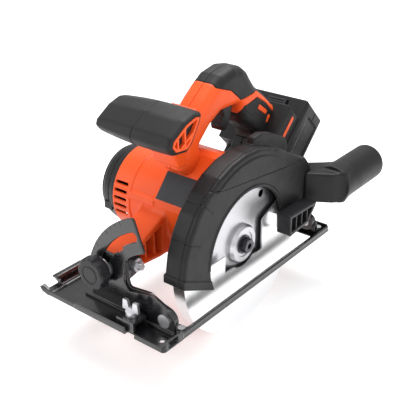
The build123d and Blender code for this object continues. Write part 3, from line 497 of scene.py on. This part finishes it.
# ---------------------------------------------------------------- main handle
HANDLE = [(42, 128), (36, 146), (25, 160), (6, 176), (-6, 185), (-18, 192.5), (-36, 196), (-50, 193.5),
          (-59, 187), (-66, 177.5), (-73, 169), (-88, 157.5), (-98, 149), (-106, 141.5), (-125, 126),
          (-88, 89), (-77, 100), (-70, 93), (-57, 83), (-44, 74), (-30, 70), (0, 90), (32.5, 109.5),
          (41, 117)]
LOOP = [(-17, 158), (0, 149), (14, 136), (15, 131), (-12, 122), (-27, 113.5), (-37, 97), (-45, 92),
        (-56, 95), (-66, 103), (-74, 114), (-74, 119), (-64, 126), (-50, 136), (-48, 146), (-47, 158)]
CAP_REGION = [(-4, 210), (-9, 183), (-29, 176), (-46, 162), (-73, 164.5), (-90, 152), (-102, 141),
              (-130, 150), (-80, 215)]
GRIP_REGION = [(-52, 154), (-72, 158), (-88, 148), (-102, 134), (-112, 128), (-96, 112), (-78, 110),
               (-60, 118), (-46, 134), (-49, 148)]
WINDOWS = [[(-77, 150), (-91, 139.5), (-88, 135.5), (-73, 146)],
           [(-97, 133), (-94, 124), (-88.5, 127), (-92, 135)]]
BAR_REGION = [(-46, 60), (-38, 84), (-36, 100), (-60, 112), (-77, 124), (-130, 130), (-100, 70)]
HANDLE_SCREWS = [(34.0, 124.0), (12.0, 160.0), (-62.0, 159.8), (-60.0, 89.0)]
HANDLE_SHELL = 3.2
SUNK = 1.6                            # how far the shells step back under the rubber
SKIN = 1.7                            # thickness of the rubber
SCREW_HEAD_R = 3.0
TRIGGER_PIN = (-25.0, 161.0)
LOCK_OFF = (-22.0, 173.0)
LOCK_OFF_R = 5.2
WELL_X0, WELL_X1 = -47.5, -19.0       # where the trigger stands in the handle


def handle_body(g, edge=10.0):
    """The whole handle: a rounded loop, broad where the hand lies."""
    flat = outline(rounded(HANDLE, 4), g.x, g.z)
    hole = outline(rounded(LOOP, 5), g.x, g.z)
    body = extrude(flat, g.y, HANDLE_Y - HANDLE_HALF, HANDLE_Y + HANDLE_HALF, edge)
    through = extrude(hole, g.y, HANDLE_Y - 40, HANDLE_Y + 40, 1.0)
    return cut(body, through, 10.0)


def handle_grid(low, high, step=FINE):
    g = Grid(low, high, step)
    return g, handle_body(g)


def region(g, points):
    """Everything inside an outline, right through the handle."""
    return slab_y(g, points, -30, 40, 0.1)


def seat_clearance(g):
    """The battery's side of the foot's top face, near the handle."""
    return np.maximum(g.out - 24.0, np.abs(g.up - 10.0) - 50.0)


def make_handle_shells():
    g, body = handle_grid((-127, -11, 68), (44, 23, 197), 0.6)
    cap = region(g, CAP_REGION)
    grip = region(g, GRIP_REGION)
    for corners in WINDOWS:
        grip = cut(grip, region(g, rounded(corners, 1.5)))
    covered = join(cap, grip)
    shell = join(cut(body, covered - 0.25), keep(body + SUNK, covered - 0.5))
    shell = cut(shell, body + HANDLE_SHELL + SUNK)
    shell = cut(shell, housing_envelope(g) - 0.15)
    shell = cut(shell, seat_clearance(g))
    shell = cut(shell, brick(g, WELL_X0, WELL_X1, -1.6, 13.6, 140, 170), 0.6)
    shell = cut(shell, brick(g, -55, -30, -3.5, 15.5, 160, 178))
    for x, z in HANDLE_SCREWS:
        shell = cut(shell, rod_y(g, x, z, SCREW_HEAD_R, -30, -6.5), 0.8)
    shell = cut(shell, rod_y(g, *LOCK_OFF, LOCK_OFF_R, -30, 0))
    bar = region(g, BAR_REGION)
    halves = {"left": g.y - (HANDLE_Y - 0.12), "right": (HANDLE_Y + 0.12) - g.y}
    for side, half in halves.items():
        whole = keep(shell, half, 0.5)
        node_piece(g, cut(whole, bar - 0.1, 0.4), "handle_half_" + side)
        rear_bar = keep(whole, bar, 0.4)
        piece(g, rear_bar, "rear_bar_" + side, "saw", "shell_black", LOOKS["shell_black"])


def hexagons(g, size):
    """A pattern that is 0 in the middle of each hexagon and grows towards its edge."""
    u, v = (g.x * 0.8 + g.z * 0.6) / size, (g.z * 0.8 - g.x * 0.6) / size
    third = math.sqrt(3)
    a = np.hypot((u + 0.5) % 1 - 0.5, ((v + third / 2) % third) - third / 2)
    b = np.hypot(u % 1 - 0.5, (v % third) - third / 2)
    return np.minimum(a, b)


def make_grips():
    g, body = handle_grid((-107, -11, 138), (-2, 23, 197))
    cap = keep(body, region(g, CAP_REGION), 0.8)
    cap = cut(cap, body + SKIN)
    cap = cut(cap, seat_clearance(g))
    cap = cut(cap, rod_y(g, *LOCK_OFF, LOCK_OFF_R, -30, 0))
    seam = np.maximum(np.abs(g.y - HANDLE_Y) - 0.35, -0.7 - body)
    cap = cut(cap, seam, 0.4)
    node_piece(g, cap, "grip_top")
    g, body = handle_grid((-114, -11, 106), (-43, 23, 162))
    relief = np.clip((hexagons(g, 5.2) - 0.42) / 0.08, 0, 1) * 0.22
    grip = keep(body + relief, region(g, GRIP_REGION), 0.8)
    for corners in WINDOWS:
        grip = cut(grip, region(g, rounded(corners, 1.5)), 0.8)
    grip = cut(grip, body + SKIN)
    grip = cut(grip, seat_clearance(g))
    grip = cut(grip, brick(g, WELL_X0, WELL_X1, -2, 14, 140, 170))
    node_piece(g, grip, "grip_rear")


def make_trigger():
    g = Grid((-46, -2, 132), (-20, 14, 165), 0.35)
    points = [(-21.5, 164), (-32, 164), (-44, 161.5), (-44.5, 158), (-42, 148), (-39, 139), (-34, 133.5),
              (-27, 134), (-26, 139), (-29, 148), (-27, 156), (-21.5, 157.5)]
    body = slab_y(g, rounded(points, 1.6), -1.0, 13.0, 1.8)
    for k in range(4):
        z = 142.5 + 3.2 * k
        body = cut(body, rod_y(g, -27.0 + 0.1 * k, z, 0.7, -5, 20), 0.5)
    body = cut(body, rod_y(g, *TRIGGER_PIN, 1.55, -5, 20))
    return node_piece(g, body, "trigger")


# ---------------------------------------------------------------- forward handle
PAD = [(30, 176), (42, 178), (56, 174), (74, 163), (78, 154), (70, 145), (52, 143), (44, 150), (34, 166)]
PAD_Y0, PAD_Y1 = -58.0, 38.0
BRIDGE = [(28, 122), (46, 122), (56, 147), (44, 168), (18, 172)]


def pad_body(g):
    """Padded bar that thins towards its far end."""
    flat = outline(rounded(PAD, 7), g.x, g.z)
    taper = 0.0011 * (g.y - 2) ** 2 * (g.y < 2) + 0.0009 * (g.y - 8) ** 2 * (g.y >= 8)
    return extrude(flat + taper, g.y, PAD_Y0, PAD_Y1, 6.5)


def make_front_handle():
    g = Grid((16, -59, 120), (80, 39, 179), 0.6)
    pad = pad_body(g)
    flat = outline(rounded(PAD, 7), g.x, g.z) + 0.0009 * (PAD_Y1 - 8) ** 2
    mouth = extrude(flat + 3.4, g.y, 33.5, 60, 0.6)
    shell = cut(pad, mouth, 0.8)
    bridge = slab_y(g, rounded(BRIDGE, 3), -9, 21, 2.0)
    shell = cut(shell, bridge - 0.2)
    shell = cut(shell, handle_body(g) - 0.2)
    shell = cut(shell, np.maximum(np.abs(g.y + 8.5) - 0.4, -0.8 - pad), 0.5)
    node_piece(g, shell, "front_handle_pad")
    core = extrude(flat + 3.7, g.y, 28, PAD_Y1 - 0.9, 0.5)
    ribs = [(30, 54), (56, 63.5), (65.5, 80)]
    pockets = NOWHERE
    for x0, x1 in ribs:
        pocket = slab_y(g, [(x0, 130), (x1, 130), (x1 + 2, 190), (x0 + 2, 190)], 31, 60, 0.4)
        pockets = join(pockets, pocket)
    core = cut(core, keep(pockets, flat + 6.2, 1.0), 0.6)
    slant = np.abs((g.x - 45) * 0.52 + (g.z - 160) * 0.85) - 1.1
    core = join(core, keep(keep(slant, flat + 3.7), np.maximum(28 - g.y, g.y - PAD_Y1 + 1.4)))
    neck = cut(bridge, pad + 2.0)
    neck = cut(cut(neck, handle_body(g) - 0.15), housing_envelope(g) - 0.15)
    node_piece(g, join(core, neck), "front_handle_core")


# ---------------------------------------------------------------- battery seat and pack
def make_battery():
    g = Grid((-130, -28, 88), (-70, 40, 145), 0.6)
    foot = seat_brick(g, -30, 22, 33, 2, 24, 3.5)
    foot = join(foot, seat_brick(g, -30, 22, 33, 0.3, 3, 0.6))
    foot = cut(foot, seat_brick(g, -27, 19, 30, 1, 21, 1.0))
    foot = cut(foot, seat_brick(g, -29.3, 40, 21.8, -1, 3, 0.2))
    for k in range(3):
        groove = seat_brick(g, -40, 40, 60, 19.2 - 2.4 * k, 19.9 - 2.4 * k, 0.1)
        foot = cut(foot, keep(groove, -0.7 - foot), 0.3)
    node_piece(g, foot, "battery_foot")
    stripe = seat_brick(g, -24, 16, 33.3, 8.5, 13.5, 1.0)
    stripe = cut(stripe, seat_brick(g, -60, 60, 32.2, -5, 30, 0.5))
    piece(g, stripe, "foot_side_stripe", "saw", "shell_orange", LOOKS["shell_orange"])
    g = Grid((-176, -31, 45), (-74, 43, 142), 0.7)
    case = seat_brick(g, -48, 42, 35.5, -43, -0.3, 4.0)
    case = cut(case, seat_brick(g, -45.5, 39.5, 33, -41.6, -3, 0.5))
    side = seat_brick(g, -41, 30, 4.0, -37, -12, 2.0, middle=HANDLE_Y + 38.5)
    case = cut(case, side, 0.6)
    side = seat_brick(g, -41, 30, 4.0, -37, -12, 2.0, middle=HANDLE_Y - 38.5)
    case = cut(case, side, 0.6)
    split = np.maximum(np.abs(g.out + 22.0) - 0.45, -0.9 - seat_brick(g, -48, 42, 35.5, -43, -0.3, 4.0))
    case = cut(case, split, 0.4)
    rail = join(seat_brick(g, -29, 17, 21.5, -0.8, 2.0, 0.2), seat_brick(g, -29, 17, 24, 2.0, 3.2, 0.2))
    case = cut(case, seat_brick(g, 23, 37, 12.0, -10, 3, 0.5))
    for k in range(5):
        rib = seat_brick(g, 41, 43.5, 26, -38 + 6.5 * k, -35.5 + 6.5 * k, 0.8)
        case = cut(case, rib, 0.5)
    node_piece(g, join(case, rail), "pack_case")
    g = Grid((-140, -8, 122), (-122, 20, 141), 0.35)
    latch = seat_brick(g, 23.4, 36.6, 11.6, -2.4, 3.0, 0.9)
    for k in range(4):
        groove = seat_brick(g, 26 + 2.4 * k, 26.9 + 2.4 * k, 9, 2.3, 5, 0.2)
        latch = cut(latch, groove, 0.3)
    node_piece(g, latch, "pack_latch")


# ---------------------------------------------------------------- upper guard
DUCT = [(-40, 124.5), (-62, 115), (-98, 97), (-108, 86), (-116, 46), (-60, 44)]
DUCT_IN = [(-42, 120.5), (-62, 111.6), (-96.6, 94), (-105, 84.6), (-112.6, 49), (-60, 47)]
NECK_OUT = [(-118, 46), (-96, 66), (-112, 92), (-122, 101), (-139, 96), (-139, 70)]
NECK_IN = [(-109, 50), (-96, 60), (-112, 86), (-124, 96), (-136, 90), (-136, 72), (-116, 50)]
GUARD_Y0, GUARD_Y1 = 43.0, 66.0
WINDOW_R, NOSE_R = 58, 21.2


GUARD_REACH = [(-120, 34), (-120, 200), (120, 200), (120, 48.8), (50, 14.5), (46, 14.5), (46, 34)]
LIP = [(100, 39), (50, 14.5), (46, 22), (96, 46.5)]
LUG = [(-22, 128), (-26, 137), (-38, 138), (-55, 133), (-79, 121.5), (-84, 112), (-80, 100), (-50, 110)]
PANEL_ABOVE = [(-90, 97), (90, 117), (90, 140), (-90, 140)]
CREASE = [(68, 119), (38, 112), (-19, 105), (-96, 95)]
TUBE_Y, TUBE_Z, TUBE_R, TUBE_BORE, TUBE_END = 86.0, 64.5, 19.5, 17.5, -196.0
ARM_CLAMP = polar(DEPTH_X, DEPTH_Z, 160.0, 184.0)


def guard_flat(g, faceted=True):
    """Side outline of the upper guard: a disc's upper part with facets, and the duct."""
    if faceted:
        edge = [polar(SPIN_X, SPIN_Z, UPPER_R, a) for a in range(-45, 195, 12)]
        round_part = outline(edge, g.x, g.z)
    else:
        round_part = np.hypot(g.x - SPIN_X, g.z - SPIN_Z) - UPPER_R
    round_part = keep(round_part, outline(GUARD_REACH, g.x, g.z))
    return join(round_part, outline(rounded(DUCT, 4), g.x, g.z), 6.0)


def make_upper_guard():
    g = Grid((-117, 40, 6), (97, 69, 141), 0.6)
    across = np.hypot(g.x - SPIN_X, g.z - SPIN_Z)
    angle = np.degrees(np.arctan2(g.z - SPIN_Z, g.x - SPIN_X))
    shell = extrude(guard_flat(g), g.y, GUARD_Y0, GUARD_Y1, 3.2)
    lug = cut(outline(rounded(LUG, 4), g.x, g.z), across - (UPPER_R - 1))
    shell = join(shell, extrude(lug, g.y, GUARD_Y0, 52, 1.8), 1.6)
    lip = keep(across - (UPPER_R + 1.4), outline(rounded(LIP, 2), g.x, g.z))
    shell = join(shell, extrude(lip, g.y, GUARD_Y0, GUARD_Y1 + 1.2, 1.0), 1.0)
    panel = keep(outline(sector(SPIN_X, SPIN_Z, 63, 89, 50, 140), g.x, g.z), outline(PANEL_ABOVE, g.x, g.z))
    shell = join(shell, extrude(panel, g.y, GUARD_Y1 - 4, GUARD_Y1 + 1.2, 0.9), 0.8)
    ring = extrude(np.abs(across - (WINDOW_R + 1.7)) - 1.7, g.y, GUARD_Y1 - 3, GUARD_Y1 + 0.9, 0.7)
    shell = join(shell, keep(ring, SPIN_Z - g.z), 0.6)
    shell = cut(shell, rod_y(g, SPIN_X, SPIN_Z, WINDOW_R, 55, 90, 0.8), 0.8)
    for (x0, z0), (x1, z1) in zip(CREASE, CREASE[1:]):
        length = math.hypot(x1 - x0, z1 - z0)
        t = np.clip(((g.x - x0) * (x1 - x0) + (g.z - z0) * (z1 - z0)) / length ** 2, 0, 1)
        line = np.hypot(g.x - x0 - t * (x1 - x0), g.z - z0 - t * (z1 - z0)) - 0.4
        line = np.maximum(line, -0.8 - shell)
        shell = cut(shell, keep(line, 62 - g.y), 0.4)
    seam = np.maximum(np.abs(g.y - 60.5) - 0.35, -0.7 - shell)
    shell = cut(shell, keep(seam, 80 - across), 0.4)
    chamber = join(across - (UPPER_R - 3.4), outline(DUCT_IN, g.x, g.z))
    shell = cut(shell, extrude(chamber, g.y, 45.5, 63, 0.5))
    shell = cut(shell, brick(g, -WINDOW_R, 0, 60, 80, -10, SPIN_Z, 0.5))
    shell = cut(shell, rod_y(g, SPIN_X, SPIN_Z, NOSE_R, 30, 50, 0.3))
    shell = cut(shell, slab_z(g, NECK_IN, 51, 77, 0.3))
    shell = join(shell, rod_y(g, *ARM_CLAMP, 12.0, 43, 45.5, 0.4))
    shell = join(shell, rod_y(g, *ARM_CLAMP, 9.0, 41.3, 43.5, 0.4))
    shell = cut(shell, rod_y(g, *ARM_CLAMP, 4.0, 30, 50, 0.1))
    shell = cut(shell, rod_y(g, *ARM_CLAMP, 7.5, 43.4, 46.0, 0.1))
    for a in (24, 46, 148):
        crease = np.maximum(np.abs(angle - a) * np.radians(1.0) * across - 0.35, -0.7 - shell)
        shell = cut(shell, keep(crease, 80 - across), 0.4)
    return node_piece(g, shell, "upper_guard")


def make_dust_port():
    g = Grid((TUBE_END - 1, 45, 44), (-94, 107, 85), 0.6)
    neck = extrude(outline(rounded(NECK_OUT, 4), g.x, g.y), g.z, 47, 80, 3.0)
    tube = rod_x(g, TUBE_Y, TUBE_Z, TUBE_R, TUBE_END, -120, 0.8)
    port = join(neck, tube, 4.0)
    port = cut(port, slab_z(g, rounded(NECK_IN, 3), 51, 77, 1.0))
    port = cut(port, rod_x(g, TUBE_Y, TUBE_Z, TUBE_BORE, TUBE_END - 8, -124, 0.3), 0.6)
    port = cut(port, extrude(guard_flat(g, False) - 0.1, g.y, 30, GUARD_Y1 + 0.1, 0.1))
    return node_piece(g, port, "dust_port")


def make_guard_lever():
    g = Grid((-95, 66, 33), (-43, 85, 58), 0.4)
    face = [(-44, 57), (-94, 55), (-92, 50), (-78, 36), (-46, 34)]
    lever = slab_y(g, rounded(face, 2), 67.7, 84, 1.0)
    pocket = slab_y(g, rounded([(-48, 53.5), (-88, 52), (-77, 39.5), (-48, 38)], 1.5), 71, 90, 0.8)
    ribs = NOWHERE
    for x in (-58, -68, -78):
        ribs = join(ribs, brick(g, x - 1, x + 1, 70, 83, 30, 60, 0.4))
    lever = cut(lever, cut(pocket, ribs, 0.6), 0.5)
    for k in range(6):
        x = -86 + 6.5 * k
        lever = cut(lever, rod_y(g, x, 57.4, 1.1, 60, 90), 0.6)
    return node_piece(g, lever, "guard_lever")


# ---------------------------------------------------------------- base plate and brackets
def make_base_plate():
    g = Grid((-138, -79, -0.5), (138, 79, 12), 0.6)
    sheet = [(-137.5, -70), (137.5, -70), (137.5, 78), (-137.5, 78)]
    plate = slab_z(g, rounded(sheet, 2.5), 0, 2, 0.7)
    flare = [(-66, 0), (-70, 0), (-78, 4), (-78, 6), (-70, 2), (-66, 2)]
    plate = join(plate, slab_x(g, flare, -137.5, 137.5, 0.4), 1.5)
    hump = [(-70, 2), (-78, 6), (-78, 10), (-76, 11), (-71, 11), (-69, 9), (-69, 2)]
    plate = join(plate, slab_x(g, hump, 86, 122, 0.8), 2.0)
    for x0, x1, y0, y1, top in ((135.5, 137.5, -76, 75.5, 5), (135.5, 137.5, -30, 33, 7),
                                (-137.5, -135.5, -70, 75.5, 7), (-134.5, 134.5, 76, 78, 7),
                                (112, 134.5, 76, 78, 10)):
        plate = join(plate, brick(g, x0, x1, y0, y1, 0.5, top, 0.8), 1.6)
    opening = [(-112, -44), (98, -44), (98, 70), (-112, 70)]
    plate = cut(plate, slab_z(g, rounded(opening, 3), -5, 20, 0.3), 0.8)
    plate = cut(plate, brick(g, 134.0, 150, 33, 43.5, -5, 20, 0.5), 0.8)
    plate = cut(plate, brick(g, 118.8, 131.2, -90, -60, 2.4, 8.2, 0.5), 0.5)
    plate = cut(plate, brick(g, 118.8, 131.2, 74, 90, 2.4, 8.2, 0.5), 0.5)
    plate = cut(plate, rod_z(g, 126, 66, 2.4, -5, 10), 0.6)
    # stiffening bead pressed round the opening
    ring = outline(rounded([(-118, -50), (104, -50), (104, 73.5), (-118, 73.5)], 5), g.x, g.y)
    bead = extrude(np.abs(ring) - 1.4, g.z, 1.0, 2.7, 0.7)
    plate = join(plate, keep(bead, g.x - 96), 1.0)
    return node_piece(g, plate, "base_plate")


def make_uprights():
    g = Grid((97, -39, 1), (119, 76, 104), 0.45)
    face = outline(rounded(sector(BEVEL_Y, BEVEL_Z, 62, 95, 110.5, 168), 9), g.y, g.z)
    low = [(-30, 2), (71, 2), (71, 18), (66, 25), (54, 30), (44, 33), (30, 30), (17, 27), (13, 34),
           (13, 58), (-6, 54), (-12, 30), (-30, 8)]
    face = join(face, outline(rounded(low, 2.5), g.y, g.z), 3.0)
    slot = outline(sector(BEVEL_Y, BEVEL_Z, KNOB_R - 4.5, KNOB_R + 4.5, 115.5, 163), g.y, g.z)
    for end in (115.5, 163):
        y0, z0 = polar(BEVEL_Y, BEVEL_Z, KNOB_R, end)
        slot = join(slot, np.hypot(g.y - y0, g.z - z0) - 4.5)
    face = cut(face, slot, 1.0)
    # stepped stop in the slot
    stop = outline(sector(BEVEL_Y, BEVEL_Z, KNOB_R - 6.5, KNOB_R - 3.5, 130, 139), g.y, g.z)
    face = cut(face, stop, 0.8)
    face = cut(face, np.hypot(g.y - BEVEL_Y, g.z - BEVEL_Z) - 4.0)
    plate = extrude(face, g.x, 112, 115, 0.5)
    for k in range(10):
        a = 121 + 4.5 * k
        long = 5.0 if k % 3 == 0 else 3.0
        y0, z0 = polar(BEVEL_Y, BEVEL_Z, 95, a)
        y1, z1 = polar(BEVEL_Y, BEVEL_Z, 95 - long, a)
        side = Vector((z1 - z0, y0 - y1)).normalized() * 0.35
        mark = [(y0 - side.x, z0 - side.y), (y1 - side.x, z1 - side.y), (y1 + side.x, z1 + side.y),
                (y0 + side.x, z0 + side.y)]
        plate = cut(plate, slab_x(g, mark, 114.6, 116, 0.05))
    plate = join(plate, brick(g, 114.5, 117, -38, 71, 2, 5, 0.5), 1.2)
    for y0, y1 in ((63, 75), (-24, -12), (2, 14)):
        plate = join(plate, brick(g, 98.5, 112.5, y0, y1, 2, 2.9, 0.3), 1.0)
    node_piece(g, plate, "bevel_uprights", name="front_quadrant_plate", replaced=("bevel_uprights",))
    g = Grid((-136, 39, 1), (-118, 72, 25), 0.45)
    face = outline(rounded([(40, 2), (71, 2), (71, 14), (60, 23), (49, 14), (40, 8)], 3), g.y, g.z)
    face = join(face, np.hypot(g.y - BEVEL_Y, g.z - BEVEL_Z) - 9, 1.0)
    rear = join(extrude(face, g.x, -122, -119, 0.5), brick(g, -135, -120, 40, 71, 2, 4, 0.5), 2.0)
    node_piece(g, rear, "bevel_uprights", name="rear_upright_plate", replaced=())


def make_front_bracket():
    g = Grid((87, -35, 3), (113, 72, 57), 0.45)
    face = np.hypot(g.y - BEVEL_Y, g.z - BEVEL_Z) - 10.5
    points = [(60, 4), (60, 24), (40, 32), (16, 29), (13, 38), (13, 55), (-27, 55), (-34, 40),
              (-27, 22), (20, 8)]
    face = join(face, outline(rounded(points, 3), g.y, g.z), 3.0)
    knob_y, knob_z = polar(BEVEL_Y, BEVEL_Z, KNOB_R, KNOB_ANGLE)
    body = extrude(face, g.x, 108.2, 111.7, 0.6)
    ear = [(109, 33), (109, 55), (99, 55), (91, 50), (90, 41), (95, 36)]
    for y0, y1 in ((-26.5, -22.5), (8.5, 12.5)):
        body = join(body, slab_y(g, rounded(ear, 3), y0, y1, 0.8), 2.0)
    body = cut(body, rod_y(g, DEPTH_X, DEPTH_Z, 4.0, -40, 40))
    body = cut(body, rod_x(g, knob_y, knob_z, 5.5, 90, 109.6, 0.1))
    body = cut(body, rod_x(g, knob_y, knob_z, 4.0, 100, 120))
    return node_piece(g, body, "front_bracket")


def make_knob():
    y, z = polar(BEVEL_Y, BEVEL_Z, KNOB_R, KNOB_ANGLE)
    g = Grid((116, y - 17, z - 17), (132, y + 17, z + 17), 0.4)
    knob = rod_x(g, y, z, 16, 119.5, 131, 2.2)
    knob = join(knob, rod_x(g, y, z, 9, 116.8, 121, 0.6), 1.0)
    for i in range(8):
        cy, cz = polar(y, z, 18.2, 22.5 + 45 * i)
        knob = cut(knob, rod_x(g, cy, cz, 4.0, 117, 140, 0.5), 1.4)
    ring = np.abs(np.hypot(g.y - y, g.z - z) - 8.5) - 0.5
    knob = cut(knob, extrude(ring, g.x, 130.3, 135, 0.2), 0.6)
    return node_piece(g, knob, "bevel_knob")


BUILDERS = [make_motor_housing, make_end_cap, make_handle_shells, make_grips, make_trigger, make_front_handle,
            make_battery, make_upper_guard, make_dust_port, make_guard_lever, make_base_plate, make_uprights,
            make_front_bracket, make_knob]
for build in BUILDERS:
    build()
for name, node in NODES.items():
    node.data.materials.clear()
    node.data.materials.append(look_of(name))


# ---------------------------------------------------------------- camera, floor and light
bpy.context.scene.view_settings.view_transform = "Standard"


def place(x, y, z):
    return Vector((x + MID_X, y, z)) * MM


CAMERA_AT, CAMERA_TOWARDS = (514.36, 421.81, 398.52), (14.3, 28.3, 72.9)
camera = bpy.data.objects.new("camera", bpy.data.cameras.new("camera"))
bpy.context.scene.collection.objects.link(camera)
camera.data.lens = 65.4
camera.data.sensor_width = 36.0
camera.location = place(*CAMERA_AT)
camera.rotation_euler = (place(*CAMERA_TOWARDS) - camera.location).to_track_quat("-Z", "Y").to_euler()
camera.data.clip_end = 20.0
bpy.context.scene.camera = camera

FLOOR_Z = cad_bounds[0][2]
FLOOR_HALF = 6.0                      # metres
floor_mesh = bpy.data.meshes.new("floor")
corners = [(-FLOOR_HALF, -FLOOR_HALF, FLOOR_Z), (FLOOR_HALF, -FLOOR_HALF, FLOOR_Z),
           (FLOOR_HALF, FLOOR_HALF, FLOOR_Z), (-FLOOR_HALF, FLOOR_HALF, FLOOR_Z)]
floor_mesh.from_pydata(corners, [], [(0, 1, 2, 3)])
floor = bpy.data.objects.new("floor", floor_mesh)
bpy.context.scene.collection.objects.link(floor)
floor_look = Look("floor_white", (0.93, 0.93, 0.93), 0.7)
floor_look.shader.inputs["Emission Color"].default_value = (1, 1, 1, 1)
floor_look.shader.inputs["Emission Strength"].default_value = 0.30
floor.data.materials.append(floor_look.material)


def area_light(name, at, towards, size, power, tall=None):
    data = bpy.data.lights.new(name, "AREA")
    data.shape = "RECTANGLE"
    data.size = size
    data.size_y = tall or size
    data.energy = power
    obj = bpy.data.objects.new(name, data)
    bpy.context.scene.collection.objects.link(obj)
    obj.location = place(*at)
    obj.rotation_euler = (place(*towards) - obj.location).to_track_quat("-Z", "Y").to_euler()
    return obj


area_light("key_above", (-350, -150, 1100), (0, 0, 60), 0.8, 13.0)
area_light("fill_left", (900, -500, 520), (30, 0, 60), 0.9, 4.0, 0.7)
area_light("fill_right", (250, 1050, 420), (0, 0, 60), 0.9, 4.0, 0.7)
world = bpy.data.worlds.new("studio")
bpy.context.scene.world = world
world.use_nodes = True
world.node_tree.nodes["Background"].inputs["Color"].default_value = (1, 1, 1, 1)
world.node_tree.nodes["Background"].inputs["Strength"].default_value = 0.72

bpy.context.view_layer.update()
